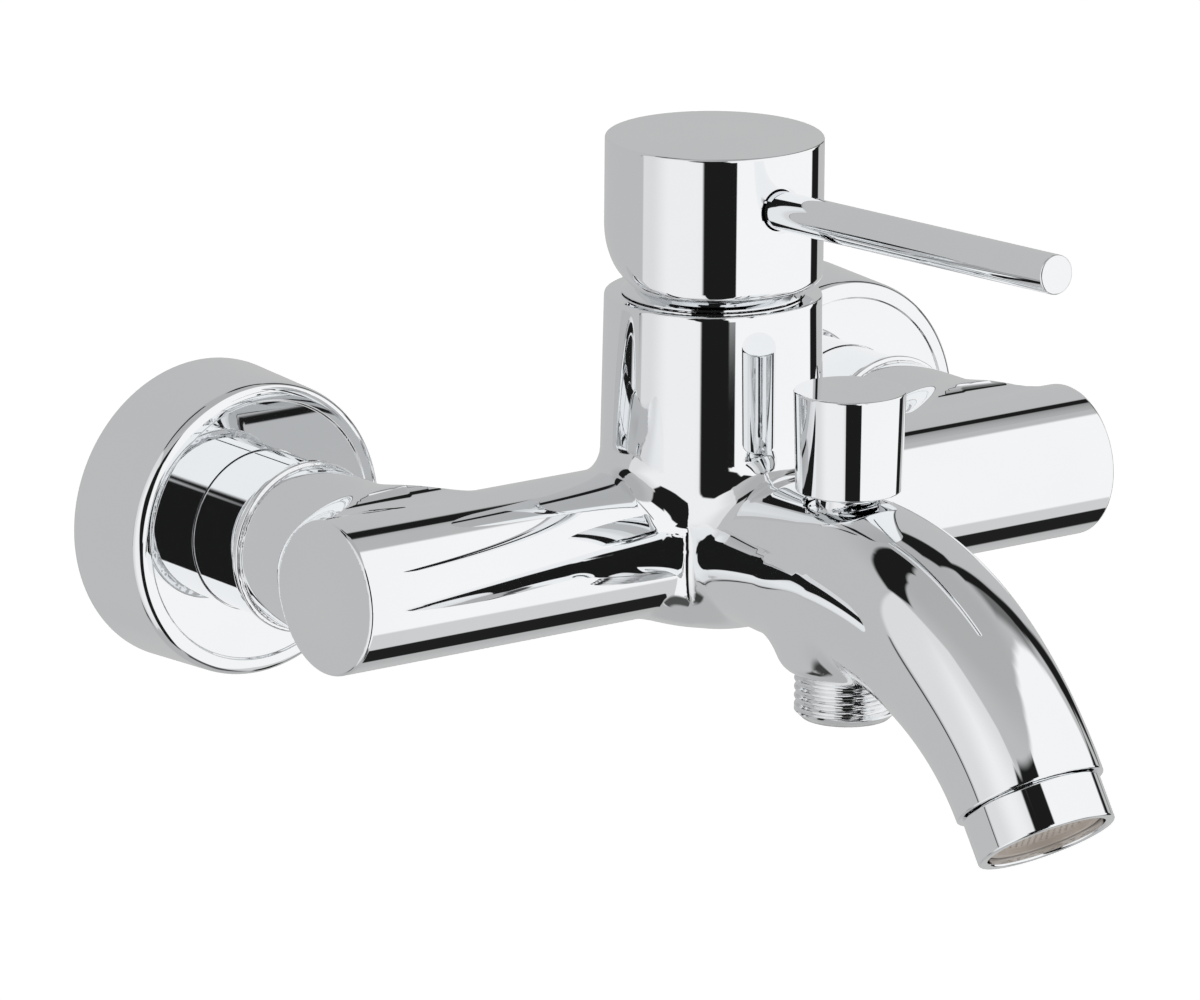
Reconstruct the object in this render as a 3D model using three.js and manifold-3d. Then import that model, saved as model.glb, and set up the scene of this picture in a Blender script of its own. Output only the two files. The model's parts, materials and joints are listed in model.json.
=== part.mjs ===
// Wall mounted single-lever bath and shower faucet, millimetres.
// +X runs right along the wall, +Y runs into the wall, +Z is up.
// The origin is on the wall plane, midway between the two inlets, at the height of the bar's axis.
import * as THREE from 'three';
import { mergeVertices } from 'three/addons/utils/BufferGeometryUtils.js';
import Module from 'manifold-3d';

const wasm = await Module();
wasm.setup();

// ---------------------------------------------------------------- driving dimensions
const GAP = 0.3; // running and assembly clearance between pieces
const ROUND_LARGE = 28; // sides of a large round piece
const ROUND_MEDIUM = 20;
const ROUND_SMALL = 14;
const ROUND_TINY = 10;

const INLET_X = 75; // half of the 150 mm between the two inlets
const BAR = { y: -72, radius: 15.8, half: 95.1, bore: 6, boreEnd: 5.2, edge: 0.8 };
const TOWER = { y: -74, radiusTop: 22.1, radiusBottom: 22.7, foot: 13, top: 48.7, shoulder: 3.8 };
const SUMP = { radius: 17, z: -8, bottom: -19.8 }; // rounded underside of the tower, below the bar
const CHAMBER = { radius: 17.8, floor: 9 }; // bore in the tower that takes the cartridge
const PORT = { x: 8.5, outletForward: 9, radius: 3, outletRadius: 3.5 };
const PASSAGE = { z: -4.5, radius: 5 }; // from the cartridge outlet to the diverter

const BRANCH = {
  face: -36.4, radius: 16.8, beadRadius: 18, beadWidth: 2.4, socket: 10.2, socketEnd: -52, bore: 7.7,
};
const ESCUTCHEON = { wallRadius: 31.4, faceRadius: 30.2, depth: 21.9, edge: 1.8, wall: 1.6, hole: 16.95 };
const GRIP_RING = { outer: 19.4, from: -20, to: -18 }; // rubber ring that holds the escutcheon on the nut
const NUT = { radius: 16.6, back: -11.5, lip: -24.3, lipBore: 10.3, threadBore: 13.4 };
const TAIL = {
  radius: 9.9, end: -51.5, collar: 12.6, collarFrom: -24, collarTo: -21.5, bore: 7.7, stop: 6.4,
};
const UNION_SEAL = { inner: 8, outer: 12.4, from: -21.2, to: -19 };
const UNION = {
  threadRadius: 13, threadEnd: -18.7, flangeFrom: -9, flangeTo: -3, offset: 8, wallRadius: 10.4, wallEnd: 20,
  bore: 6.5,
};
const CHECK_VALVE = { radius: 7.4, bore: 6, from: -49.5, to: -27, end: 2, seatBore: 4.4, guideBore: 1.6 };
const CHECK_SPRING = { radius: 3, wire: 0.4, turns: 4 };
const POPPET = { radius: 5.4, thick: 2, stem: 1.2, stemEnd: -48.5 };

const SPOUT = {
  bendY: -118, bendRadius: 72.5, bendAngle: 56, rootRadius: 15.6, midRadius: 17.4, endRadius: 15.4,
};
const SPOUT_BORE = { radius: 11.4, startY: -134 };
const AERATOR = {
  socket: 12.4, socketDepth: 9.2, thread: 12, threadEnd: -6.5, ring: 14.3, length: 9.7, bore: 12.3,
  inner: 10.2, ledge: 1.8,
};
const AERATOR_INSERT = { radius: 12, from: 2.1, to: 8.9, hole: 2.4, middleHole: 2, circle: 7, holes: 6 };
const AERATOR_SEAL = { inner: 10.3, outer: 12.1, from: -8.8, to: -6.9 };

const DIVERTER = { y: -119, stem: 2.5, stemTop: 33, upperSeat: -0.5, lowerSeat: -13.5, disc: 6.6 };
const KNOB = { bottom: 18.1, top: 38.7, radiusBottom: 10.7, radiusTop: 11.3 };
const BUSH = { thread: 8.3, bottom: 9.3, shoulder: 14.6, top: 17.2, collar: 6.6 };
const OUTLET = { bossRadius: 13.2, bossBottom: -19.2, thread: 10.45, bottom: -28.9, screwIn: 8.9, bore: 5 };
const VALVE = { nutLow: -15.4, discLow: -13.2, discHigh: -9.7, plate: 4.5, plateHigh: -8.4, shaftHole: 2.8 };
const O_RING = { inner: 2.8, outer: 4.3, low: 11.3, high: 12.9 };
const DIVERTER_SPRING = { radius: 3.7, wire: 0.5, turns: 5 };

const PIVOT_Z = 31; // height of the lever's tilt axis
const CARTRIDGE = { radius: 17.3, cavity: 15.4, bottom: 13.6, top: 31, lid: 2.5, opening: 10.5 };
const SEAL = { radius: 15, low: 9.3, high: 10.5, port: 3.4 };
const BASE = { radius: 17.3, low: 10.8, high: 13.3, port: 3.2 };
const FIXED_DISC = { radius: 15, low: 13.6, high: 16.6, port: 3 };
const MOVING_DISC = { radius: 10.8, low: 16.9, high: 19.9, shift: 1.4 }; // shift: behind the axis when closed
const CARRIER = { low: 20.2, high: 25.2, socket: 2.8, socketFloor: 21 };
const ROTOR = {
  low: 25.5, flange: 15, flangeTop: 28.2, neck: 10.1, top: 36, slotWidth: 8.8, slotLength: 14.8,
};
const PIN = { radius: 1.3, half: 9, hole: 1.6 };
const LOCK_NUT = { inner: 11.7, outer: 17.4, top: 45.8, slot: 4 };
const STEM = { side: 8, top: 68, ball: 2.2, ballZ: 23.6, neck: 1.8, squareFrom: 27.2 };
const CAP = {
  radius: 22.2, rim: 18.4, rimInner: 17.1, bottom: 52.3, curveTop: 60.5, top: 82.2, edge: 0.6, ceiling: 58.6,
  cavity: 18.6,
};
// from and to are distances behind the tower's axis
const GRUB_SCREW = { z: 63.5, radius: 2.35, hole: 2.7, from: 4.6, to: 16.6 };
const PLUG = { radius: 3, hole: 3.3, seat: 19, from: 19.5, to: 21.9 };
const ROD = {
  radius: 4, length: 99, tilt: 2.8, startY: -84.5, z: 70.3, edge: 0.7, rebate: 0.8, rebateFrom: 10.9,
};
const DOME = {
  clearRadius: 26.6, wall: 1.6, outer: 18.5, hole: 14.2, skirt: 17.3, skirtInner: 15.9, skirtBottom: 46.3,
};

// ---------------------------------------------------------------- materials
function paint(color, roughness, metalness) {
  return new THREE.MeshStandardMaterial({ color, roughness, metalness });
}

const chrome = () => paint(0xd8dadc, 0.06, 1);
const brass = () => paint(0xb99a54, 0.35, 1);
const steel = () => paint(0xb4b6b8, 0.3, 1);
const rubber = () => paint(0x17181a, 0.8, 0);
const whitePlastic = () => paint(0xe6e5df, 0.5, 0);
const greyPlastic = () => paint(0x8f9296, 0.5, 0);
const beigePlastic = () => paint(0xa3988a, 0.55, 0);
const ceramic = () => paint(0xf0efe9, 0.2, 0);

// ---------------------------------------------------------------- profiles
const corner = (x, y) => new THREE.Vector2(x, y);
const outline = (...pairs) => pairs.map(([x, y]) => corner(x, y));
const radians = THREE.MathUtils.degToRad;

// Points along an elliptical arc, angles in degrees.
function arc(x, y, radiusX, radiusY, from, to, steps) {
  const points = [];
  for (let i = 0; i <= steps; i += 1) {
    const angle = radians(from + ((to - from) * i) / steps);
    points.push(corner(x + radiusX * Math.cos(angle), y + radiusY * Math.sin(angle)));
  }
  return points;
}

// A rectangle of revolution: a disc when inner is 0, otherwise a ring.
function ringProfile(inner, outer, low, high) {
  const points = outline([inner, low], [outer, low], [outer, high], [inner, high]);
  return inner > 0 ? [...points, points[0].clone()] : points;
}

// ---------------------------------------------------------------- geometry helpers
function triangleList(geometry) {
  const bare = geometry.clone();
  bare.deleteAttribute('normal');
  bare.deleteAttribute('uv');
  const merged = mergeVertices(bare, 1e-4);
  const position = merged.getAttribute('position').array;
  const index = merged.getIndex().array;
  const corners = [];
  for (let i = 0; i < index.length; i += 3) {
    const [a, b, c] = [index[i], index[i + 1], index[i + 2]];
    if (a !== b && b !== c && c !== a) corners.push(a, b, c);
  }
  return { position, corners };
}

function signedVolume({ position, corners }) {
  const at = (i) => new THREE.Vector3().fromArray(position, i * 3);
  let total = 0;
  for (let i = 0; i < corners.length; i += 3) {
    total += at(corners[i]).dot(at(corners[i + 1]).cross(at(corners[i + 2])));
  }
  return total / 6;
}

function toSolid(geometry) {
  const faces = triangleList(geometry);
  if (signedVolume(faces) < 0) faces.corners.reverse();
  return new wasm.Manifold(new wasm.Mesh({
    numProp: 3,
    vertProperties: new Float32Array(faces.position),
    triVerts: new Uint32Array(faces.corners),
  }));
}

function toGeometry(solid) {
  const mesh = solid.getMesh();
  const geometry = new THREE.BufferGeometry();
  geometry.setAttribute('position', new THREE.BufferAttribute(new Float32Array(mesh.vertProperties), 3));
  geometry.setIndex(new THREE.BufferAttribute(new Uint32Array(mesh.triVerts), 1));
  return geometry;
}

const unite = (first, ...rest) => rest.reduce((sum, next) => sum.add(next), first);
const cut = (first, ...rest) => rest.reduce((sum, next) => sum.subtract(next), first);

// Revolved solids about an axis parallel to X, Y or Z through the given point.
const turnY = (profile, sides, x = 0, z = 0) => new THREE.LatheGeometry(profile, sides).translate(x, 0, z);
const turnZ = (profile, sides, x = 0, y = 0) => (
  new THREE.LatheGeometry(profile, sides).rotateX(Math.PI / 2).translate(x, y, 0)
);
const turnX = (profile, sides, y = 0, z = 0) => (
  new THREE.LatheGeometry(profile, sides).rotateZ(-Math.PI / 2).translate(0, y, z)
);

// Solid cylinders parallel to X, Y or Z.
const disc = (radius, low, high) => ringProfile(0, radius, low, high);
const rodX = (radius, low, high, sides, y, z) => toSolid(turnX(disc(radius, low, high), sides, y, z));
const rodY = (radius, low, high, sides, x, z) => toSolid(turnY(disc(radius, low, high), sides, x, z));
const rodZ = (radius, low, high, sides, x, y) => toSolid(turnZ(disc(radius, low, high), sides, x, y));

function block(width, depth, height, x, y, z) {
  return toSolid(new THREE.BoxGeometry(width, depth, height).translate(x, y, z));
}

// Skin over rings of equal point count, closed with a fan at each end.
function loft(rings) {
  const count = rings[0].length;
  const centres = [rings[0], rings[rings.length - 1]].map((ring) => (
    ring.reduce((sum, point) => sum.add(point), new THREE.Vector3()).divideScalar(count)
  ));
  const points = [...rings.flat(), ...centres];
  const index = [];
  for (let i = 0; i + 1 < rings.length; i += 1) {
    for (let j = 0; j < count; j += 1) {
      const a = i * count + j;
      const b = i * count + ((j + 1) % count);
      index.push(a, b, b + count, a, b + count, a + count);
    }
  }
  const last = (rings.length - 1) * count;
  for (let j = 0; j < count; j += 1) {
    const next = (j + 1) % count;
    index.push(points.length - 2, next, j, points.length - 1, last + j, last + next);
  }
  const geometry = new THREE.BufferGeometry().setFromPoints(points);
  geometry.setIndex(index);
  return geometry;
}

class Helix extends THREE.Curve {
  constructor(radius, low, high, turns) {
    super();
    Object.assign(this, { radius, low, high, turns });
  }

  getPoint(t, target = new THREE.Vector3()) {
    const angle = t * this.turns * Math.PI * 2;
    const height = this.low + (this.high - this.low) * t;
    return target.set(this.radius * Math.cos(angle), this.radius * Math.sin(angle), height);
  }
}

// A coil spring about Z.
function coil(radius, wire, low, high, turns) {
  const section = new THREE.Shape(arc(0, 0, wire, wire, 0, 270, 3));
  const stepsPerTurn = 8;
  return new THREE.ExtrudeGeometry(section, {
    extrudePath: new Helix(radius, low + wire, high - wire, turns),
    steps: turns * stepsPerTurn,
    bevelEnabled: false,
  });
}

// ---------------------------------------------------------------- spout centreline
const BEND = radians(SPOUT.bendAngle);
const SPOUT_START_Y = TOWER.y;
const STRAIGHT = SPOUT_START_Y - SPOUT.bendY;
const SPOUT_LENGTH = STRAIGHT + SPOUT.bendRadius * BEND;

// Centre and downward slope of the spout at a distance from the tower's axis.
function spoutAt(distance) {
  const angle = Math.max(0, distance - STRAIGHT) / SPOUT.bendRadius;
  const y = distance < STRAIGHT ? SPOUT_START_Y - distance : SPOUT.bendY - SPOUT.bendRadius * Math.sin(angle);
  return { y, z: -SPOUT.bendRadius * (1 - Math.cos(angle)), angle };
}

function spoutRadius(distance) {
  const t = distance / SPOUT_LENGTH;
  return THREE.MathUtils.lerp(SPOUT.rootRadius, SPOUT.endRadius, t)
    + (SPOUT.midRadius - (SPOUT.rootRadius + SPOUT.endRadius) / 2) * Math.sin(Math.PI * t) ** 2;
}

function spoutRing(distance, radius, sides) {
  const { y, z, angle } = spoutAt(distance);
  return Array.from({ length: sides }, (_, i) => {
    const turn = (2 * Math.PI * i) / sides;
    const lift = radius * Math.sin(turn);
    return new THREE.Vector3(radius * Math.cos(turn), y - lift * Math.sin(angle), z + lift * Math.cos(angle));
  });
}

function spoutTube(from, to, steps, sides, radiusAt) {
  const rings = [];
  for (let i = 0; i <= steps; i += 1) {
    const distance = from + ((to - from) * i) / steps;
    rings.push(spoutRing(distance, radiusAt(distance), sides));
  }
  return toSolid(loft(rings));
}

// Places a shape turned about Y so that its +Y runs out of the spout's mouth.
function atMouth(geometry) {
  const end = spoutAt(SPOUT_LENGTH);
  return geometry.rotateX(Math.PI + BEND).translate(0, end.y, end.z);
}

// ---------------------------------------------------------------- body casting
function barSolid() {
  const { radius, half, edge, y } = BAR;
  const profile = [
    corner(0, -half), corner(radius - edge, -half), corner(radius, -half + edge),
    corner(radius, half - edge), corner(radius - edge, half), corner(0, half),
  ];
  return toSolid(turnX(profile, ROUND_LARGE, y));
}

function towerSolid() {
  const { radiusTop, radiusBottom, foot, top, shoulder, y } = TOWER;
  const bowl = arc(0, SUMP.z, SUMP.radius, SUMP.z - SUMP.bottom, -90, 0, 4);
  const waist = outline([SUMP.radius + 2, 0], [radiusBottom - 0.6, foot - 5], [radiusBottom, foot]);
  const rim = arc(radiusTop - shoulder, top - shoulder, shoulder, shoulder, 0, 90, 3);
  return toSolid(turnZ([...bowl, ...waist, ...rim, corner(0, top)], ROUND_LARGE, 0, y));
}

function branchSolid(x) {
  const { face, radius, beadRadius, beadWidth } = BRANCH;
  const profile = outline(
    [0, BAR.y], [radius - 0.6, BAR.y], [radius, face - beadWidth - 2], [radius, face - beadWidth],
    [beadRadius - 0.4, face - beadWidth], [beadRadius, face - beadWidth + 0.5], [beadRadius, face - 0.5],
    [beadRadius - 0.5, face], [0, face],
  );
  return toSolid(turnY(profile, ROUND_LARGE, x));
}

function outletBossSolid() {
  const { bossRadius, bossBottom } = OUTLET;
  const edge = 1.5;
  const rim = arc(bossRadius - edge, bossBottom + edge, edge, edge, -90, 0, 3);
  const profile = [corner(0, bossBottom), ...rim, corner(bossRadius, 0), corner(0, 0)];
  return toSolid(turnZ(profile, ROUND_MEDIUM, 0, DIVERTER.y));
}

function inletWay(x) {
  const { face, socket, socketEnd, bore } = BRANCH;
  const side = Math.sign(x);
  const [low, high] = side < 0 ? [x, -BAR.boreEnd] : [BAR.boreEnd, x];
  return unite(
    rodY(socket, socketEnd, face + 1, ROUND_MEDIUM, x, 0),
    rodY(bore, BAR.y, socketEnd + 1, ROUND_SMALL, x, 0),
    rodX(BAR.bore, low, high, ROUND_SMALL, BAR.y, 0),
    rodZ(PORT.radius, -2, CHAMBER.floor + 1, ROUND_TINY, side * PORT.x, BAR.y),
  );
}

function diverterWay() {
  const { y, upperSeat, lowerSeat } = DIVERTER;
  const frontPassage = turnY(disc(3.2, SPOUT_BORE.startY - 2, y), ROUND_TINY);
  frontPassage.scale(1.6, 1, 1).translate(0, 0, 5.6);
  return unite(
    rodZ(9.2, OUTLET.bossBottom - 1, lowerSeat + 0.5, ROUND_MEDIUM, 0, y),
    rodZ(8, lowerSeat, upperSeat, ROUND_MEDIUM, 0, y),
    rodZ(5, upperSeat - 1, 3, ROUND_SMALL, 0, y),
    rodZ(7.6, 2, BUSH.bottom, ROUND_SMALL, 0, y),
    rodZ(8.6, BUSH.bottom - GAP, 22, ROUND_MEDIUM, 0, y),
    toSolid(frontPassage),
  );
}

function bodySolid() {
  const mouthSocket = toSolid(atMouth(turnY(disc(AERATOR.socket, -AERATOR.socketDepth, 1), ROUND_MEDIUM)));
  const boreStart = SPOUT_START_Y - SPOUT_BORE.startY;
  const outside = unite(
    barSolid(), towerSolid(), branchSolid(-INLET_X), branchSolid(INLET_X), outletBossSolid(),
    spoutTube(0, SPOUT_LENGTH, 12, ROUND_LARGE, spoutRadius),
  );
  return cut(
    outside,
    rodZ(CHAMBER.radius, CHAMBER.floor, TOWER.top + 1, ROUND_LARGE, 0, TOWER.y),
    inletWay(-INLET_X), inletWay(INLET_X),
    rodZ(PORT.outletRadius, PASSAGE.z, CHAMBER.floor + 1, ROUND_TINY, 0, TOWER.y - PORT.outletForward),
    rodY(PASSAGE.radius, DIVERTER.y, TOWER.y - PORT.outletForward + 3, ROUND_SMALL, 0, PASSAGE.z),
    diverterWay(),
    spoutTube(boreStart, SPOUT_LENGTH - AERATOR.socketDepth + 1, 6, ROUND_SMALL, () => SPOUT_BORE.radius),
    mouthSocket,
  );
}

// ---------------------------------------------------------------- inlet pieces
function escutcheon(x) {
  const { wallRadius, faceRadius, depth, edge, wall, hole } = ESCUTCHEON;
  const profile = [
    corner(wallRadius - wall, -GAP), corner(faceRadius - wall - 0.4, -depth + wall + 0.8),
    corner(faceRadius - wall - 1.2, -depth + wall), corner(hole, -depth + wall), corner(hole, -depth),
    ...arc(faceRadius - edge, -depth + edge, edge, edge, -90, 0, 3), corner(wallRadius, -GAP),
    corner(wallRadius - wall, -GAP),
  ];
  return turnY(profile, ROUND_LARGE, x);
}

function unionNut(x) {
  const { radius, back, lip, lipBore, threadBore } = NUT;
  const front = BRANCH.face + GAP;
  const profile = outline(
    [lipBore, front], [radius - 0.4, front], [radius, front + 0.4], [radius, back], [threadBore, back],
    [threadBore, lip], [lipBore, lip], [lipBore, front],
  );
  const notches = [45, 135, 225, 315].map((degrees) => {
    const notch = new THREE.BoxGeometry(4, 3, 3).translate(radius, back, 0);
    return toSolid(notch.rotateY(radians(degrees)).translate(x, 0, 0));
  });
  return toGeometry(cut(toSolid(turnY(profile, ROUND_LARGE, x)), ...notches));
}

function inletTail(x) {
  const { radius, end, collar, collarFrom, collarTo, bore, stop } = TAIL;
  const profile = outline(
    [stop, end], [radius, end], [radius, collarFrom], [collar, collarFrom], [collar, collarTo],
    [bore, collarTo], [bore, end + 1.7], [stop, end + 1.7], [stop, end],
  );
  return turnY(profile, ROUND_SMALL + 4, x);
}

function eccentricUnion(x) {
  const { threadRadius, threadEnd, flangeFrom, flangeTo, offset, wallRadius, wallEnd, bore } = UNION;
  const oval = new THREE.Shape([
    ...arc(0, 0, threadRadius + 1, threadRadius + 1, 180, 360, 12),
    ...arc(0, offset, threadRadius - 1, threadRadius - 1, 0, 180, 12),
  ]);
  const flange = new THREE.ExtrudeGeometry(oval, { depth: flangeTo - flangeFrom, bevelEnabled: false });
  flange.rotateX(Math.PI / 2).translate(x, flangeTo, 0);
  const outside = unite(
    rodY(threadRadius, threadEnd, flangeFrom + 1, ROUND_MEDIUM, x, 0),
    toSolid(flange),
    rodY(wallRadius, flangeTo - 1, wallEnd, ROUND_MEDIUM, x, offset),
  );
  return toGeometry(cut(
    outside,
    rodY(bore, threadEnd - 1, flangeTo - 1, ROUND_SMALL, x, 0),
    rodY(bore, flangeFrom + 2, wallEnd + 1, ROUND_SMALL, x, offset),
  ));
}

function checkValveHousing(x) {
  const { radius, bore, from, to, end, seatBore, guideBore } = CHECK_VALVE;
  const profile = outline(
    [guideBore, from], [radius, from], [radius, to], [seatBore, to], [seatBore, to - end], [bore, to - end],
    [bore, from + end], [guideBore, from + end], [guideBore, from],
  );
  const windowRadius = 1.5;
  const circle = 3.8;
  const windows = [0, 90, 180, 270].map((degrees) => {
    const angle = radians(degrees);
    const [across, up] = [circle * Math.cos(angle), circle * Math.sin(angle)];
    return rodY(windowRadius, from - 1, from + end + 1, 8, x + across, up);
  });
  return toGeometry(cut(toSolid(turnY(profile, ROUND_SMALL, x)), ...windows));
}

function checkValvePoppet(x) {
  const { radius, thick, stem, stemEnd } = POPPET;
  const face = CHECK_VALVE.to - CHECK_VALVE.end - GAP;
  const profile = outline(
    [0, stemEnd], [stem, stemEnd], [stem, face - thick], [radius, face - thick], [radius, face - 0.6],
    [radius - 1.5, face], [0, face],
  );
  return turnY(profile, ROUND_SMALL, x);
}

function checkValveSpring(x) {
  const { radius, wire, turns } = CHECK_SPRING;
  const low = CHECK_VALVE.from + CHECK_VALVE.end + GAP;
  const high = CHECK_VALVE.to - CHECK_VALVE.end - GAP - POPPET.thick - GAP;
  return coil(radius, wire, low, high, turns).rotateX(-Math.PI / 2).translate(x, 0, 0);
}

// ---------------------------------------------------------------- cartridge pieces
const hotPort = (low, high, radius) => rodZ(radius, low, high, ROUND_TINY, -PORT.x, BAR.y);
const coldPort = (low, high, radius) => rodZ(radius, low, high, ROUND_TINY, PORT.x, BAR.y);
const mixedPort = (low, high, radius) => rodZ(radius, low, high, ROUND_TINY, 0, TOWER.y - PORT.outletForward);

function portedDisc({ radius, low, high, port }) {
  return toGeometry(cut(
    rodZ(radius, low, high, ROUND_MEDIUM, 0, TOWER.y),
    hotPort(low - 1, high + 1, port),
    coldPort(low - 1, high + 1, port),
    mixedPort(low - 1, high + 1, port),
  ));
}

function movingDisc() {
  const { radius, low, high, shift } = MOVING_DISC;
  const pocket = block(13, 9, 2, 0, TOWER.y - 1, low + 0.3);
  return toGeometry(cut(rodZ(radius, low, high, ROUND_MEDIUM, 0, TOWER.y + shift), pocket));
}

function discCarrier() {
  const { low, high, socket, socketFloor } = CARRIER;
  const body = rodZ(MOVING_DISC.radius, low, high, ROUND_MEDIUM, 0, TOWER.y + MOVING_DISC.shift);
  return toGeometry(cut(body, rodZ(socket, socketFloor, high + 1, ROUND_SMALL, 0, TOWER.y)));
}

function cartridgeHousing() {
  const { radius, cavity, bottom, top, lid, opening } = CARTRIDGE;
  const profile = outline(
    [cavity, bottom], [radius, bottom], [radius, top], [opening, top], [opening, top - lid],
    [cavity, top - lid], [cavity, bottom],
  );
  return turnZ(profile, ROUND_MEDIUM, 0, TOWER.y);
}

function cartridgeRotor() {
  const { low, flange, flangeTop, neck, top, slotWidth, slotLength } = ROTOR;
  const profile = outline(
    [0, low], [flange, low], [flange, flangeTop], [neck, flangeTop], [neck, top], [0, top],
  );
  return toGeometry(cut(
    toSolid(turnZ(profile, ROUND_MEDIUM, 0, TOWER.y)),
    block(slotWidth, slotLength, 20, 0, TOWER.y, PIVOT_Z),
    rodX(PIN.hole, -12, 12, ROUND_TINY, TOWER.y, PIVOT_Z),
  ));
}

function leverStem() {
  const { side, top, ball, ballZ, neck, squareFrom } = STEM;
  const start = Math.asin(neck / ball) * (180 / Math.PI);
  const joint = squareFrom + 0.5;
  const foot = [...arc(0, ballZ, ball, ball, -90, 90 - start, 6), corner(neck, joint), corner(0, joint)];
  return toGeometry(cut(
    unite(
      toSolid(turnZ(foot, ROUND_TINY, 0, TOWER.y)),
      block(side, side, top - squareFrom, 0, TOWER.y, (top + squareFrom) / 2),
    ),
    rodX(PIN.hole, -side, side, ROUND_TINY, TOWER.y, PIVOT_Z),
  ));
}

function cartridgeNut() {
  const { inner, outer, top, slot } = LOCK_NUT;
  const ring = toSolid(turnZ(ringProfile(inner, outer, CARTRIDGE.top + GAP, top), ROUND_MEDIUM, 0, TOWER.y));
  const across = 40;
  return toGeometry(cut(
    ring,
    block(across, slot, slot, 0, TOWER.y, top),
    block(slot, across, slot, 0, TOWER.y, top),
  ));
}

// Domed cover whose outside follows a sphere about the tilt axis, so the lever cap swings over it.
function trimRing() {
  const { clearRadius, wall, outer, hole, skirt, skirtInner, skirtBottom } = DOME;
  const angleOf = (radius, at) => (Math.acos(at / radius) * 180) / Math.PI;
  const inside = clearRadius - wall;
  const seat = TOWER.top + 0.25;
  const profile = [
    corner(skirtInner, skirtBottom), corner(skirt, skirtBottom), corner(skirt, seat), corner(outer, seat),
    ...arc(0, PIVOT_Z, clearRadius, clearRadius, angleOf(clearRadius, outer), angleOf(clearRadius, hole), 3),
    ...arc(0, PIVOT_Z, inside, inside, angleOf(inside, hole), angleOf(inside, skirtInner), 2),
    corner(skirtInner, skirtBottom),
  ];
  return turnZ(profile, ROUND_LARGE, 0, TOWER.y);
}

// ---------------------------------------------------------------- lever pieces
function tiltedRod(radius, from, to, sides) {
  const rod = new THREE.LatheGeometry(ringProfile(0, radius, from, to), sides);
  return rod.rotateX(Math.PI - radians(ROD.tilt)).translate(0, ROD.startY, ROD.z);
}

function leverCap() {
  const { radius, rim, rimInner, bottom, curveTop, top, edge, ceiling, cavity } = CAP;
  const socket = STEM.side + 2 * GAP;
  const profile = [
    corner(rimInner, bottom),
    ...arc(rim, curveTop, radius - rim, curveTop - bottom, -90, 0, 5),
    corner(radius, top - edge), corner(radius - edge, top), corner(0, top), corner(0, ceiling),
    corner(cavity, ceiling), corner(cavity, ceiling - 1.6), corner(rimInner, bottom),
  ];
  return toGeometry(cut(
    toSolid(turnZ(profile, ROUND_LARGE, 0, TOWER.y)),
    block(socket, socket, 12, 0, TOWER.y, ceiling + 4),
    toSolid(tiltedRod(ROD.radius + GAP, -GAP, 20, ROUND_SMALL)),
    toSolid(tiltedRod(ROD.radius + ROD.rebate, ROD.rebateFrom, 20, ROUND_SMALL)),
    rodY(GRUB_SCREW.hole, TOWER.y, TOWER.y + PLUG.seat + 0.2, ROUND_TINY, 0, GRUB_SCREW.z),
    rodY(PLUG.hole, TOWER.y + PLUG.seat, TOWER.y + radius + 1.8, ROUND_SMALL, 0, GRUB_SCREW.z),
  ));
}

function leverRod() {
  const { radius, length, tilt, startY, z, edge } = ROD;
  const profile = outline([0, 0], [radius, 0], [radius, length - edge], [radius - edge, length], [0, length]);
  const rod = new THREE.LatheGeometry(profile, ROUND_SMALL);
  return rod.rotateX(Math.PI - radians(tilt)).translate(0, startY, z);
}

// ---------------------------------------------------------------- diverter pieces
function diverterKnob() {
  const { bottom, top, radiusBottom, radiusTop } = KNOB;
  const socket = DIVERTER.stem + GAP;
  const socketTop = DIVERTER.stemTop + GAP;
  const edge = 0.4;
  const profile = outline(
    [socket, bottom], [radiusBottom - edge, bottom], [radiusBottom, bottom + edge], [radiusTop, top - edge],
    [radiusTop - edge, top], [0, top], [0, socketTop], [socket, socketTop], [socket, bottom],
  );
  return turnZ(profile, ROUND_MEDIUM, 0, DIVERTER.y);
}

function diverterStem() {
  const { stem, stemTop } = DIVERTER;
  const { discHigh, plate, plateHigh, nutLow } = VALVE;
  const profile = outline(
    [0, nutLow], [stem, nutLow], [stem, discHigh + GAP], [plate, discHigh + GAP], [plate, plateHigh],
    [stem, plateHigh], [stem, stemTop], [0, stemTop],
  );
  return turnZ(profile, ROUND_SMALL, 0, DIVERTER.y);
}

function diverterValveNut() {
  const low = VALVE.nutLow;
  const high = VALVE.discLow - GAP;
  const hexagon = rodZ(4.2, low, high, 6, 0, DIVERTER.y);
  return toGeometry(cut(hexagon, rodZ(VALVE.shaftHole, low - 1, high + 1, ROUND_SMALL, 0, DIVERTER.y)));
}

function diverterBush() {
  const { thread, bottom, shoulder, top, collar } = BUSH;
  const bore = DIVERTER.stem + GAP;
  const groove = { radius: O_RING.outer + GAP, low: O_RING.low - GAP, high: O_RING.high + GAP };
  const profile = outline(
    [bore, bottom], [thread, bottom], [thread, shoulder], [collar, shoulder + 0.2], [collar, top - 0.5],
    [collar - 0.5, top], [bore, top], [bore, groove.high], [groove.radius, groove.high],
    [groove.radius, groove.low], [bore, groove.low], [bore, bottom],
  );
  return turnZ(profile, ROUND_SMALL + 4, 0, DIVERTER.y);
}

function diverterSpring() {
  const { radius, wire, turns } = DIVERTER_SPRING;
  const spring = coil(radius, wire, VALVE.plateHigh + GAP, BUSH.bottom - GAP, turns);
  return spring.translate(0, DIVERTER.y, 0);
}

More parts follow.
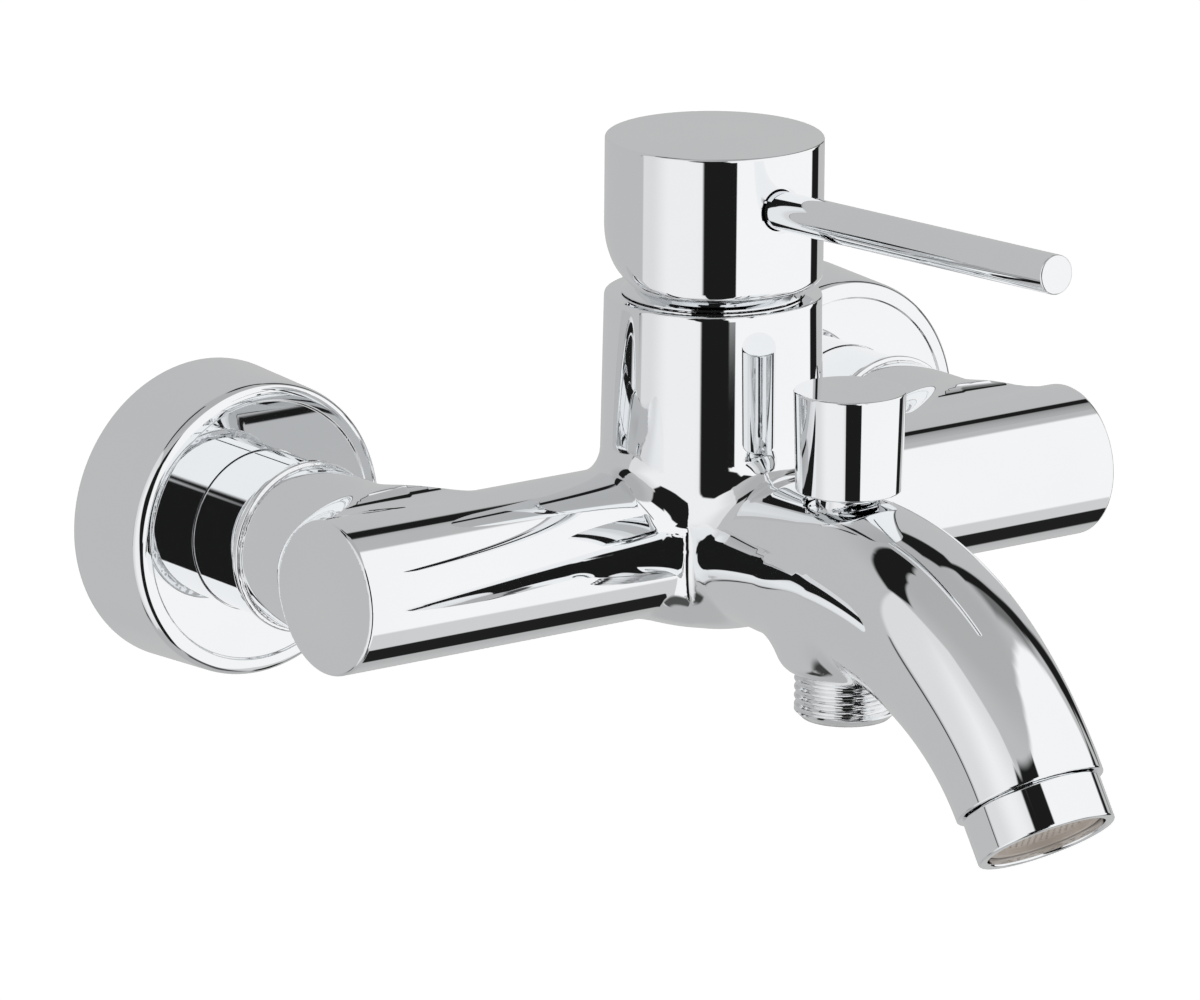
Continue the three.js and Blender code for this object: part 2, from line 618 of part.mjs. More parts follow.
function showerOutlet() {
  const { thread, bottom, bossBottom, screwIn, bore } = OUTLET;
  const top = DIVERTER.lowerSeat;
  const seat = bossBottom - GAP;
  const profile = outline(
    [bore, bottom + 2], [8, bottom], [thread - 0.8, bottom], [thread, bottom + 0.8], [thread, seat],
    [screwIn, seat], [screwIn, top], [bore, top], [bore, bottom + 2],
  );
  return turnZ(profile, ROUND_MEDIUM, 0, DIVERTER.y);
}

// ---------------------------------------------------------------- aerator pieces
function aeratorHousing() {
  const { thread, threadEnd, ring, length, bore, inner, ledge } = AERATOR;
  const profile = outline(
    [inner, threadEnd], [thread, threadEnd], [thread, GAP], [ring, GAP], [ring, length - 0.5],
    [ring - 0.5, length], [bore + 0.4, length], [bore, length - 0.4], [bore, ledge], [inner, ledge],
    [inner, threadEnd],
  );
  return atMouth(turnY(profile, ROUND_MEDIUM));
}

function aeratorInsert() {
  const { radius, from, to, hole, middleHole, circle, holes } = AERATOR_INSERT;
  const openings = [rodY(middleHole, from - 1, to + 1, 6, 0, 0)];
  for (let i = 0; i < holes; i += 1) {
    const angle = (2 * Math.PI * i) / holes;
    openings.push(rodY(hole, from - 1, to + 1, 6, circle * Math.cos(angle), circle * Math.sin(angle)));
  }
  return atMouth(toGeometry(cut(rodY(radius, from, to, ROUND_MEDIUM, 0, 0), ...openings)));
}

// ---------------------------------------------------------------- assembly
const faucet = new THREE.Group();

function add(name, geometry, material) {
  const mesh = new THREE.Mesh(geometry, material);
  mesh.name = name;
  faucet.add(mesh);
}

// Revolved rings from their named sizes.
const ringY = ({ inner, outer, from, to }, sides, x = 0) => (
  turnY(ringProfile(inner, outer, from, to), sides, x)
);
const ringAtDiverter = (inner, outer, low, high) => (
  turnZ(ringProfile(inner, outer, low, high), ROUND_SMALL, 0, DIVERTER.y)
);
const behindTower = (radius, from, to, sides) => (
  turnY(disc(radius, TOWER.y + from, TOWER.y + to), sides, 0, GRUB_SCREW.z)
);

add('faucet_body', toGeometry(bodySolid()), chrome());

for (const [side, x] of [['left', -INLET_X], ['right', INLET_X]]) {
  const grip = { inner: ESCUTCHEON.hole, ...GRIP_RING };
  add(`escutcheon_${side}`, escutcheon(x), chrome());
  add(`escutcheon_ring_${side}`, ringY(grip, ROUND_MEDIUM, x), rubber());
  add(`union_nut_${side}`, unionNut(x), chrome());
  add(`union_seal_${side}`, ringY(UNION_SEAL, ROUND_SMALL, x), rubber());
  add(`inlet_tail_${side}`, inletTail(x), brass());
  add(`eccentric_union_${side}`, eccentricUnion(x), chrome());
  add(`check_valve_housing_${side}`, checkValveHousing(x), whitePlastic());
  add(`check_valve_poppet_${side}`, checkValvePoppet(x), greyPlastic());
  add(`check_valve_spring_${side}`, checkValveSpring(x), steel());
}

add('cartridge_seal', portedDisc(SEAL), rubber());
add('cartridge_base', portedDisc(BASE), whitePlastic());
add('fixed_ceramic_disc', portedDisc(FIXED_DISC), ceramic());
add('moving_ceramic_disc', movingDisc(), ceramic());
add('disc_carrier', discCarrier(), greyPlastic());
add('cartridge_housing', cartridgeHousing(), whitePlastic());
add('cartridge_rotor', cartridgeRotor(), whitePlastic());
add('lever_pivot_pin', turnX(disc(PIN.radius, -PIN.half, PIN.half), ROUND_TINY, TOWER.y, PIVOT_Z), steel());
add('lever_stem', leverStem(), steel());
add('cartridge_nut', cartridgeNut(), brass());
add('trim_ring', trimRing(), chrome());

add('lever_cap', leverCap(), chrome());
add('lever_rod', leverRod(), chrome());
add('lever_grub_screw', behindTower(GRUB_SCREW.radius, GRUB_SCREW.from, GRUB_SCREW.to, ROUND_TINY), steel());
add('grub_screw_plug', behindTower(PLUG.radius, PLUG.from, PLUG.to, ROUND_SMALL), greyPlastic());

add('diverter_knob', diverterKnob(), chrome());
add('diverter_stem', diverterStem(), steel());
add('diverter_bush', diverterBush(), chrome());
add('diverter_o_ring', ringAtDiverter(O_RING.inner, O_RING.outer, O_RING.low, O_RING.high), rubber());
add(
  'diverter_valve_disc',
  ringAtDiverter(VALVE.shaftHole, DIVERTER.disc, VALVE.discLow, VALVE.discHigh),
  rubber(),
);
add('diverter_valve_nut', diverterValveNut(), brass());
add('diverter_spring', diverterSpring(), steel());
add('shower_outlet', showerOutlet(), chrome());

add('aerator_housing', aeratorHousing(), chrome());
add('aerator_insert', aeratorInsert(), beigePlastic());
add('aerator_seal', atMouth(ringY(AERATOR_SEAL, ROUND_SMALL)), rubber());

export default faucet;
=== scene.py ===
"""The looks of a wall mounted bath faucet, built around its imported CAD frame.

Shapes are worked out in millimetres in the frame's axes and turned into metres when a mesh is made.
+X runs right along the wall, +Y into the wall, +Z up.
"""

import json
import math

import bpy
import numpy as np
from mathutils import Matrix, Vector


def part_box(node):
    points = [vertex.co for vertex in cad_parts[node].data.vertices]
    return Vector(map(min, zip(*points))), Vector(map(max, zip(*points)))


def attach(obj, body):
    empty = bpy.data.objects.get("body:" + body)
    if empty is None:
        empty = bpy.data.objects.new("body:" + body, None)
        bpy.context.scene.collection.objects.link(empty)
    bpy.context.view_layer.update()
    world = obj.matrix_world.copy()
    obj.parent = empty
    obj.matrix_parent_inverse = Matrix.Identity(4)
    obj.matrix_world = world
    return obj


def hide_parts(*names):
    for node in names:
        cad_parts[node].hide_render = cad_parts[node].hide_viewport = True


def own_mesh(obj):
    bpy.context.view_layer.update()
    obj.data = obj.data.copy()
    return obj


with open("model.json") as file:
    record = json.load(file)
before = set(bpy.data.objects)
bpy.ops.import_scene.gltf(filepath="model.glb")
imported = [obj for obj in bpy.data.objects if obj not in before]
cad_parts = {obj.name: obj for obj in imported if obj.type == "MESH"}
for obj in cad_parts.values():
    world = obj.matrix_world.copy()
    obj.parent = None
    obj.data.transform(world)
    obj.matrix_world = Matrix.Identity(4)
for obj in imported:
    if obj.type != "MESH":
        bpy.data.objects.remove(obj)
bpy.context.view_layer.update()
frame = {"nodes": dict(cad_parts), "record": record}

MM = 0.001


# ---------------------------------------------------------------- sizes taken from the frame
def span(node):
    """Lowest corner, highest corner and middle of a CAD node, in millimetres."""
    low, high = (np.array(corner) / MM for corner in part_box(node))
    return low, high, (low + high) / 2


_, BODY_HIGH, _ = span("faucet_body")
NUT_LOW, NUT_HIGH, NUT_MID = span("union_nut_right")
CAP_LOW, CAP_HIGH, CAP_MID = span("lever_cap")
KNOB_LOW, KNOB_HIGH, KNOB_MID = span("diverter_knob")
COVER_LOW, COVER_HIGH, COVER_MID = span("escutcheon_right")
OUTLET_LOW, OUTLET_HIGH, _ = span("shower_outlet")
BUSH_LOW, BUSH_HIGH, _ = span("diverter_bush")
DOME_LOW, _, _ = span("trim_ring")

INLET_X = NUT_MID[0]
TOWER_Y = CAP_MID[1]
DIVERTER_Y = KNOB_MID[1]
BRANCH_FACE = BODY_HIGH[1]
GAP = 0.3
TINY = 1e-9

# ---------------------------------------------------------------- sizes of the casting
EDGE = 0.4
BAR = {"y": -72, "radius": 15.8, "half": BODY_HIGH[0], "edge": 0.8}
PIVOT_Z = 31
TOWER = {
    "radius": 22.1, "foot_radius": 22.7, "foot": 13, "bottom": 5.5, "bottom_edge": 3,
    "top": BODY_HIGH[2] + 1.1, "sweep": 28.9,
}
SUMP = {"radius": 17, "z": -8, "depth": 11.8}
BRANCH = {"radius": 16.8, "start": BAR["y"] + 8, "bead_radius": 17.7, "bead": 1.8, "bead_edge": 0.5}
SPOUT = {
    "bend_y": -118, "bend_radius": 72.5, "bend": math.radians(56), "root": 15.6, "middle": 17.4, "end": 15.4,
}
BOSS = {"radius": 13.2, "bottom": -19.2, "edge": 2.8}
FILLET = {"tower": 5, "corner": 2, "sump": 6, "boss": 6, "branch": 9, "branch_end": 6, "mouth": 0.3}
# how far inside the bar's ends the branches' fillets start to grow, and the length over which they do
FADE = {"start": 8, "length": 16}
STRAIGHT = TOWER_Y - SPOUT["bend_y"]
SPOUT_LENGTH = STRAIGHT + SPOUT["bend_radius"] * SPOUT["bend"]

# ---------------------------------------------------------------- sizes of its bores
FAR = 200
CHAMBER = {"radius": 17.8, "floor": 9}
BORE = {
    "bar": 6, "bar_end": 5.2, "socket": 10.2, "socket_end": -52, "branch": 7.7,
    "spout": 11.4, "spout_start": -134,
}
INLET_PORT = {"x": 8.5, "bottom": -2, "radius": 3}
OUTLET_PORT = {"ahead": 9, "radius": 3.5}
WATERWAY = {"z": -4.5, "radius": 5, "end": TOWER_Y - 6}
SPOUT_WAY = {"z": 5.6, "radius": 3.2, "widening": 1.6}
AERATOR = {"socket": 12.4, "depth": 9.2}
# (low, high, radius) of the outlet's socket, lower chamber, seat, upper chamber and the bush's socket
DIVERTER_BORES = [
    (-FAR, -13, 9.2), (-13.5, -0.5, 8), (-1.5, 3, 5), (2, BUSH_LOW[2], 7.6), (BUSH_LOW[2] - GAP, FAR, 8.6),
]


# ---------------------------------------------------------------- distance fields
def fillet(a, b, radius):
    """Union of two fields with a round fillet in the corner between them."""
    corner = np.hypot(np.maximum(radius - a, 0), np.maximum(radius - b, 0))
    return np.maximum(radius, np.minimum(a, b)) - corner


def edge(a, b, radius):
    """Overlap of two fields with a rounded edge."""
    corner = np.hypot(np.maximum(radius + a, 0), np.maximum(radius + b, 0))
    return np.minimum(-radius, np.maximum(a, b)) + corner


def cylinder(across, up, along, low, high, radius):
    """A round bar from low to high along one axis; across and up are measured from its middle."""
    return np.maximum(np.hypot(across, up) - radius, np.maximum(low - along, along - high))


def along_spout(y, z):
    """Distance along the spout's centreline from the tower's axis, and height above that line."""
    ahead = SPOUT["bend_y"] - y
    rise = z + SPOUT["bend_radius"]
    angle = np.arctan2(np.maximum(ahead, 0), rise)
    distance = np.where(ahead > 0, STRAIGHT + SPOUT["bend_radius"] * angle, TOWER_Y - y)
    height = np.where(ahead > 0, np.hypot(ahead, rise) - SPOUT["bend_radius"], z)
    return distance, height


def spout_radius(distance):
    t = np.clip(distance / SPOUT_LENGTH, 0, 1)
    swell = SPOUT["middle"] - (SPOUT["root"] + SPOUT["end"]) / 2
    return SPOUT["root"] + (SPOUT["end"] - SPOUT["root"]) * t + swell * np.sin(math.pi * t) ** 2


def tower_outside(from_axis, z):
    """Slightly tapered tower, cut back where the cap sweeps over it."""
    taper = (z - TOWER["foot"]) / (TOWER["top"] - TOWER["foot"])
    wall = TOWER["foot_radius"] + (TOWER["radius"] - TOWER["foot_radius"]) * np.clip(taper, 0, 1)
    tower = edge(from_axis - wall, z - TOWER["top"], EDGE)
    clear_of_cap = np.hypot(from_axis, np.maximum(z - PIVOT_Z, 0)) - TOWER["sweep"]
    tower = edge(tower, clear_of_cap, EDGE)
    return edge(tower, TOWER["bottom"] - z, TOWER["bottom_edge"])


def sump_outside(from_axis, z):
    """Round bowl under the tower."""
    down = (z - SUMP["z"]) / SUMP["depth"]
    share = np.hypot(from_axis / SUMP["radius"], down)
    steepness = np.hypot(from_axis / SUMP["radius"] ** 2, down / SUMP["depth"])
    bowl = share * (share - 1) / np.maximum(steepness, TINY)
    bowl = np.where(z < SUMP["z"], bowl, from_axis - SUMP["radius"])
    return np.maximum(bowl, z - TOWER["foot"])


def branch_outside(x, y, z):
    """Both inlet branches, and the beads round their ends."""
    from_inlet = np.hypot(np.abs(x) - INLET_X, z)
    branch = np.maximum(from_inlet - BRANCH["radius"], np.maximum(BRANCH["start"] - y, y - BRANCH_FACE))
    from_middle = np.abs(y - (BRANCH_FACE - BRANCH["bead"] / 2))
    bead = edge(from_inlet - BRANCH["bead_radius"], from_middle - BRANCH["bead"] / 2, BRANCH["bead_edge"])
    return branch, bead


def casting_outside(points):
    x, y, z = points.T
    bar = np.hypot(y - BAR["y"], z) - BAR["radius"]
    distance, height = along_spout(y, z)
    spout = edge(np.hypot(x, height) - spout_radius(distance), distance - SPOUT_LENGTH, EDGE)
    spout = np.maximum(spout, -distance)
    from_axis = np.hypot(x, y - TOWER_Y)
    boss = edge(np.hypot(x, y - DIVERTER_Y) - BOSS["radius"], BOSS["bottom"] - z, BOSS["edge"])
    boss = np.maximum(boss, z)
    branch, bead = branch_outside(x, y, z)
    inward = np.clip((BAR["half"] - FADE["start"] - np.abs(x)) / FADE["length"], 0, 1)
    branch_fillet = FILLET["branch"] - (FILLET["branch"] - FILLET["branch_end"]) * (1 - inward)
    casting = fillet(bar, spout, FILLET["corner"])
    casting = fillet(casting, sump_outside(from_axis, z), FILLET["sump"])
    casting = fillet(casting, boss, FILLET["boss"])
    casting = fillet(casting, branch, branch_fillet)
    casting = fillet(casting, bead, FILLET["mouth"])
    casting = fillet(casting, tower_outside(from_axis, z), FILLET["tower"])
    return edge(casting, np.abs(x) - BAR["half"], BAR["edge"])


def casting_bores(points):
    """Everything that is cast or drilled out of the body."""
    x, y, z = points.T
    side = np.abs(x)
    distance, height = along_spout(y, z)
    port_top = CHAMBER["floor"] + 1
    holes = [
        # chamber for the cartridge
        cylinder(x, y - TOWER_Y, z, CHAMBER["floor"], FAR, CHAMBER["radius"]),
        # on each side: socket for the inlet tail, and the way through branch, bar and port to the chamber
        cylinder(side - INLET_X, z, y, BORE["socket_end"], FAR, BORE["socket"]),
        cylinder(side - INLET_X, z, y, BAR["y"], BORE["socket_end"] + 1, BORE["branch"]),
        cylinder(y - BAR["y"], z, side, BORE["bar_end"], INLET_X, BORE["bar"]),
        cylinder(
            side - INLET_PORT["x"], y - BAR["y"], z, INLET_PORT["bottom"], port_top, INLET_PORT["radius"],
        ),
        # outlet port out of the chamber, and the waterway from it to the diverter
        cylinder(x, y - TOWER_Y + OUTLET_PORT["ahead"], z, WATERWAY["z"], port_top, OUTLET_PORT["radius"]),
        cylinder(x, z - WATERWAY["z"], y, DIVERTER_Y, WATERWAY["end"], WATERWAY["radius"]),
        # wide low way from the diverter into the spout, the spout's bore and the aerator's socket
        cylinder(
            x / SPOUT_WAY["widening"], z - SPOUT_WAY["z"], y, BORE["spout_start"] - 2, DIVERTER_Y,
            SPOUT_WAY["radius"],
        ),
        cylinder(x, height, distance, TOWER_Y - BORE["spout_start"], FAR, BORE["spout"]),
        cylinder(x, height, distance, SPOUT_LENGTH - AERATOR["depth"], FAR, AERATOR["socket"]),
    ]
    holes += [cylinder(x, y - DIVERTER_Y, z, low, high, radius) for low, high, radius in DIVERTER_BORES]
    return np.minimum.reduce(holes)


def casting(points):
    return edge(casting_outside(points), -casting_bores(points), FILLET["mouth"])


def slope(field, points, reach=0.01):
    steps = np.eye(3) * reach
    return np.stack([field(points + step) - field(points - step) for step in steps], 1) / (2 * reach)


# ---------------------------------------------------------------- skin over a distance field
def graded(low, high, step, fine):
    """Grid lines from low to high, closer together inside each (start, end, step) of fine."""
    lines = [low]
    while lines[-1] < high:
        at = lines[-1]
        here = min([size for start, end, size in fine if start - 1e-6 <= at < end], default=step)
        stops = [start for start, _, _ in fine if at + 1e-6 < start < at + here]
        lines.append(min(stops, default=at + here))
    return np.array(lines)


def skin(field, lines, place):
    """Vertices and quads over the surface where field is zero. place maps the grid to real points."""
    grid = np.stack(np.meshgrid(*lines, indexing="ij"), -1)
    shape = grid.shape[:3]
    value = field(place(grid.reshape(-1, 3))).reshape(shape)
    cells, crossings = [], []
    for axis in range(3):
        side, other = (axis + 1) % 3, (axis + 2) % 3
        first = value.take(range(shape[axis] - 1), axis)
        second = value.take(range(1, shape[axis]), axis)
        at = np.argwhere((first < 0) != (second < 0))
        start, end = first[tuple(at.T)], second[tuple(at.T)]
        point = np.stack([lines[k][at[:, k]] for k in range(3)], 1)
        reach = lines[axis][at[:, axis] + 1] - lines[axis][at[:, axis]]
        point[:, axis] += reach * start / (start - end)
        around = []
        for a, b in ((-1, -1), (0, -1), (0, 0), (-1, 0)):
            cell = at.copy()
            cell[:, side] += a
            cell[:, other] += b
            around.append(np.ravel_multi_index(tuple(cell.T), shape))
        quad = np.stack(around, 1)
        cells.append(np.where((start < 0)[:, None], quad, quad[:, ::-1]))
        crossings.append(point)
    quads, crossings = np.concatenate(cells), np.concatenate(crossings)
    used, quads = np.unique(quads, return_inverse=True)
    quads = quads.reshape(-1, 4)
    share = np.bincount(quads.ravel(), minlength=len(used))
    middle = [np.bincount(quads.ravel(), np.repeat(crossings[:, k], 4)) / share for k in range(3)]
    return settle(field, place(np.stack(middle, 1))), quads


def settle(field, points, rounds=4, longest=0.4, flattest=0.1):
    """Moves points onto the surface along its slope."""
    for _ in range(rounds):
        up = slope(field, points)
        step = field(points)[:, None] * up / np.maximum((up ** 2).sum(1), flattest)[:, None]
        length = np.linalg.norm(step, axis=1)[:, None]
        points = points - step * np.minimum(1, longest / np.maximum(length, TINY))
    return points


# ---------------------------------------------------------------- meshes
def make_mesh(name, points, faces):
    mesh = bpy.data.meshes.new(name)
    mesh.from_pydata((np.asarray(points) * MM).tolist(), [], [list(map(int, face)) for face in faces])
    mesh.update()
    piece = bpy.data.objects.new(name, mesh)
    bpy.context.scene.collection.objects.link(piece)
    mesh.polygons.foreach_set("use_smooth", [True] * len(mesh.polygons))
    return piece


def soften(corners, steps=5):
    """Rounds the corners of a closed outline. A corner is (radius, height) or (radius, height, round)."""
    points = np.array([corner[:2] for corner in corners], float)
    rounds = np.array([corner[2] if len(corner) > 2 else 0 for corner in corners], float)
    ahead = np.roll(points, -1, 0) - points
    length = np.linalg.norm(ahead, axis=1)
    on = ahead / length[:, None]
    back = -np.roll(on, 1, 0)
    half = np.arccos(np.clip((back * on).sum(1), -1, 1)) / 2
    reach = rounds / np.tan(half)
    room = 0.96 * length
    crowding = (reach + np.roll(reach, -1)) / room
    reach /= np.maximum(1, np.maximum(crowding, np.roll(crowding, 1)))
    out = []
    for i, point in enumerate(points):
        if not rounds[i]:
            out.append(point)
            continue
        bisector = (back[i] + on[i]) / np.linalg.norm(back[i] + on[i])
        centre = point + bisector * reach[i] / math.cos(half[i])
        radius = reach[i] * math.tan(half[i])
        first = (point + back[i] * reach[i] - centre) / radius
        last = (point + on[i] * reach[i] - centre) / radius
        sweep = math.acos(np.clip(first @ last, -1, 1))
        for k in range(steps + 1):
            t = k / steps
            mix = (math.sin((1 - t) * sweep) * first + math.sin(t * sweep) * last) / math.sin(sweep)
            out.append(centre + mix * radius)
    return out


def arc(x, y, radius_x, radius_y, start, end, steps):
    """Points on an elliptical arc, angles in degrees."""
    angles = np.radians(np.linspace(start, end, steps + 1))
    return [(x + radius_x * math.cos(a), y + radius_y * math.sin(a)) for a in angles]


def ramp(value, start, length):
    """0 up to start, 1 from start + length on, and a smooth change between."""
    t = min(max((value - start) / length, 0), 1)
    return t * t * (3 - 2 * t)


SHARP = math.radians(32)
ON_AXIS = 1e-6


def outline_normals(points):
    """Outward normals at both ends of every stretch of a closed outline."""
    ahead = np.roll(points, -1, 0) - points
    length = np.linalg.norm(ahead, axis=1)
    normal = np.stack([ahead[:, 1], -ahead[:, 0]], 1) / np.maximum(length, TINY)[:, None]
    starts, ends = normal.copy(), normal.copy()
    for i in range(len(points)):
        j = i - 1
        if length[i] < 1e-6 or length[j] < 1e-6 or normal[i] @ normal[j] < math.cos(SHARP):
            continue
        both = normal[i] * length[i] + normal[j] * length[j]
        starts[i] = ends[j] = both / np.linalg.norm(both)
    return starts, ends


def revolve(name, outline, place=None, sides=160, exact=True):
    """A closed outline of (radius, height) points, anticlockwise, turned about Z and then placed."""
    outline = np.array(outline, float)
    starts, ends = outline_normals(outline)
    turn = np.linspace(0, 2 * math.pi, sides, endpoint=False)
    around = np.stack([np.cos(turn), np.sin(turn)], 1)
    points, rings = [], []
    for radius, height in outline:
        if radius < ON_AXIS:
            rings.append([len(points)] * sides)
            points.append((0, 0, height))
        else:
            rings.append(range(len(points), len(points) + sides))
            points.extend((radius * c, radius * s, height) for c, s in around)
    faces, normals = [], []
    for i in range(len(outline)):
        j = (i + 1) % len(outline)
        if outline[i][0] < ON_AXIS and outline[j][0] < ON_AXIS:
            continue
        for k in range(sides):
            m = (k + 1) % sides
            corners = [(rings[i][k], starts[i], k), (rings[i][m], starts[i], m)]
            corners += [(rings[j][m], ends[i], m), (rings[j][k], ends[i], k)]
            if outline[i][0] < ON_AXIS:
                corners.pop(0)
            elif outline[j][0] < ON_AXIS:
                corners.pop(2)
            faces.append([index for index, _, _ in corners])
            normals.extend((n[0] * around[a][0], n[0] * around[a][1], n[1]) for _, n, a in corners)
    matrix = np.array(place or Matrix())
    points = np.array(points) @ matrix[:3, :3].T + matrix[:3, 3]
    piece = make_mesh(name, points, faces)
    if exact:
        turned = np.array(normals) @ matrix[:3, :3].T
        piece.data.normals_split_custom_set([tuple(n) for n in turned])
    return piece


# ---------------------------------------------------------------- placing and joining
def upright(x, y):
    return Matrix.Translation((x, y, 0))


def into_wall(x, z):
    """Turns a piece made about Z so that its height runs along +Y."""
    return Matrix.Translation((x, 0, z)) @ Matrix.Rotation(-math.pi / 2, 4, "X")


def aimed(direction, point):
    """Turns a piece made about Z so that its height runs along direction from point."""
    turn = Vector(direction).to_track_quat("Z", "Y").to_matrix().to_4x4()
    return Matrix.Translation(point) @ turn


def evaluated(piece):
    """Replaces a piece's mesh by what its modifiers make of it."""
    graph = bpy.context.evaluated_depsgraph_get()
    mesh = bpy.data.meshes.new_from_object(piece.evaluated_get(graph))
    piece.modifiers.clear()
    piece.data = mesh
    return piece


def combine(piece, others, operation):
    """Joins closed pieces onto piece, or cuts them out of it."""
    for other in others:
        modifier = piece.modifiers.new("combine", "BOOLEAN")
        modifier.operation = operation
        modifier.solver = "EXACT"
        modifier.object = other
        evaluated(piece)
        bpy.data.objects.remove(other)
    return piece


def shade(piece, angle=28):
    """Smooth shading that keeps large flat and round faces true beside their small edges."""
    mesh = piece.data
    mesh.polygons.foreach_set("use_smooth", [True] * len(mesh.polygons))
    mesh.set_sharp_from_angle(angle=math.radians(angle))
    weighted = piece.modifiers.new("weighted", "WEIGHTED_NORMAL")
    weighted.mode = "FACE_AREA"
    weighted.weight = 100
    weighted.keep_sharp = True
    return evaluated(piece)


def rod(name, radius, low, high, place, sides=64):
    """A plain round bar."""
    return revolve(name, [(0, low), (radius, low), (radius, high), (0, high)], place, sides, exact=False)


def block(name, width, depth, low, high, place):
    """A plain box, centred on its height's axis."""
    x, y = width / 2, depth / 2
    points = [(a, b, c) for c in (low, high) for a, b in ((-x, -y), (x, -y), (x, y), (-x, y))]
    faces = [(3, 2, 1, 0), (4, 5, 6, 7), (0, 1, 5, 4), (1, 2, 6, 5), (2, 3, 7, 6), (3, 0, 4, 7)]
    return make_mesh(name, [place @ Vector(point) for point in points], faces)


def stand_in(piece, node, material_slot):
    """Lets a piece stand for a CAD node, on the same body."""
    bodies = frame["record"]["behaviour"]["bodies"]
    body = next(name for name, nodes in bodies.items() if node in nodes)
    piece.data.materials.clear()
    piece.data.materials.append(MATERIALS[material_slot])
    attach(piece, body)
    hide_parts(node)
    return piece


# ---------------------------------------------------------------- materials
class Shader:
    """A principled material with its noise in object space, where one unit is a metre."""

    def __init__(self, name, metallic=0.0, **settings):
        self.material = bpy.data.materials.new(name)
        self.material.use_nodes = True
        self.tree = self.material.node_tree
        self.surface = self.tree.nodes["Principled BSDF"]
        self.surface.inputs["Metallic"].default_value = metallic
        for socket, value in settings.items():
            self.surface.inputs[socket.replace("_", " ")].default_value = value
        self.place = self.tree.nodes.new("ShaderNodeTexCoord").outputs["Object"]

    def noise(self, scale, detail=3, stretch=None):
        place = self.place
        if stretch:
            mapping = self.tree.nodes.new("ShaderNodeMapping")
            mapping.inputs["Scale"].default_value = stretch
            self.tree.links.new(place, mapping.inputs["Vector"])
            place = mapping.outputs["Vector"]
        node = self.tree.nodes.new("ShaderNodeTexNoise")
        node.inputs["Scale"].default_value = scale
        node.inputs["Detail"].default_value = detail
        self.tree.links.new(place, node.inputs["Vector"])
        return node.outputs["Fac"]

    def colour(self, factor, dark, light, low=0.3, high=0.7):
        ramp = self.tree.nodes.new("ShaderNodeValToRGB")
        ramp.color_ramp.elements[0].position = low
        ramp.color_ramp.elements[1].position = high
        ramp.color_ramp.elements[0].color = (*dark, 1)
        ramp.color_ramp.elements[1].color = (*light, 1)
        self.tree.links.new(factor, ramp.inputs["Fac"])
        self.tree.links.new(ramp.outputs["Color"], self.surface.inputs["Base Color"])

    def roughness(self, factor, low, high):
        spread = self.tree.nodes.new("ShaderNodeMapRange")
        spread.inputs["From Min"].default_value = 0.3
        spread.inputs["From Max"].default_value = 0.7
        spread.inputs["To Min"].default_value = low
        spread.inputs["To Max"].default_value = high
        self.tree.links.new(factor, spread.inputs["Value"])
        self.tree.links.new(spread.outputs["Result"], self.surface.inputs["Roughness"])

    def bump(self, factor, height, strength=1.0):
        bump = self.tree.nodes.new("ShaderNodeBump")
        bump.inputs["Strength"].default_value = strength
        bump.inputs["Distance"].default_value = height
        self.tree.links.new(factor, bump.inputs["Height"])
        self.tree.links.new(bump.outputs["Normal"], self.surface.inputs["Normal"])


def chrome():
    """Polished chrome plate: almost a mirror, with faint cloudiness left by wiping."""
    shader = Shader("polished_chrome", metallic=1.0)
    shader.colour(shader.noise(35), (0.895, 0.91, 0.925), (0.92, 0.93, 0.94))
    shader.roughness(shader.noise(160, 5), 0.012, 0.03)
    return shader.material


def rough_chrome():
    """Chrome over machined threads, duller in patches."""
    shader = Shader("threaded_chrome", metallic=1.0)
    shader.colour(shader.noise(120), (0.80, 0.81, 0.82), (0.89, 0.90, 0.91))
    shader.roughness(shader.noise(420, 5), 0.05, 0.12)
    shader.bump(shader.noise(1500, 2), 0.00001)
    return shader.material


def brass():
    shader = Shader("machined_brass", metallic=1.0)
    shader.colour(shader.noise(140), (0.66, 0.50, 0.26), (0.80, 0.65, 0.38))
    shader.roughness(shader.noise(500, 5), 0.2, 0.38)
    shader.bump(shader.noise(900, 2, (1, 1, 6)), 0.00004)
    return shader.material


def steel():
    shader = Shader("stainless_steel", metallic=1.0)
    shader.colour(shader.noise(200), (0.56, 0.56, 0.57), (0.70, 0.70, 0.71))
    shader.roughness(shader.noise(700, 4), 0.16, 0.3)
    shader.bump(shader.noise(900, 2, (1, 1, 8)), 0.00003)
    return shader.material


def rubber():
    shader = Shader("black_rubber")
    shader.colour(shader.noise(180), (0.016, 0.016, 0.017), (0.04, 0.04, 0.042))
    shader.roughness(shader.noise(600), 0.55, 0.75)
    shader.bump(shader.noise(1400, 4), 0.00006)
    return shader.material


def plastic(name, dark, light, low, high):
    shader = Shader(name)
    shader.colour(shader.noise(90), dark, light)
    shader.roughness(shader.noise(500, 4), low, high)
    shader.bump(shader.noise(1100, 4), 0.00003)
    return shader.material


def ceramic():
    shader = Shader("ground_ceramic", Coat_Weight=0.3, Coat_Roughness=0.08)
    shader.colour(shader.noise(250, 6), (0.82, 0.81, 0.77), (0.90, 0.89, 0.86))
    shader.roughness(shader.noise(800), 0.12, 0.25)
    return shader.material


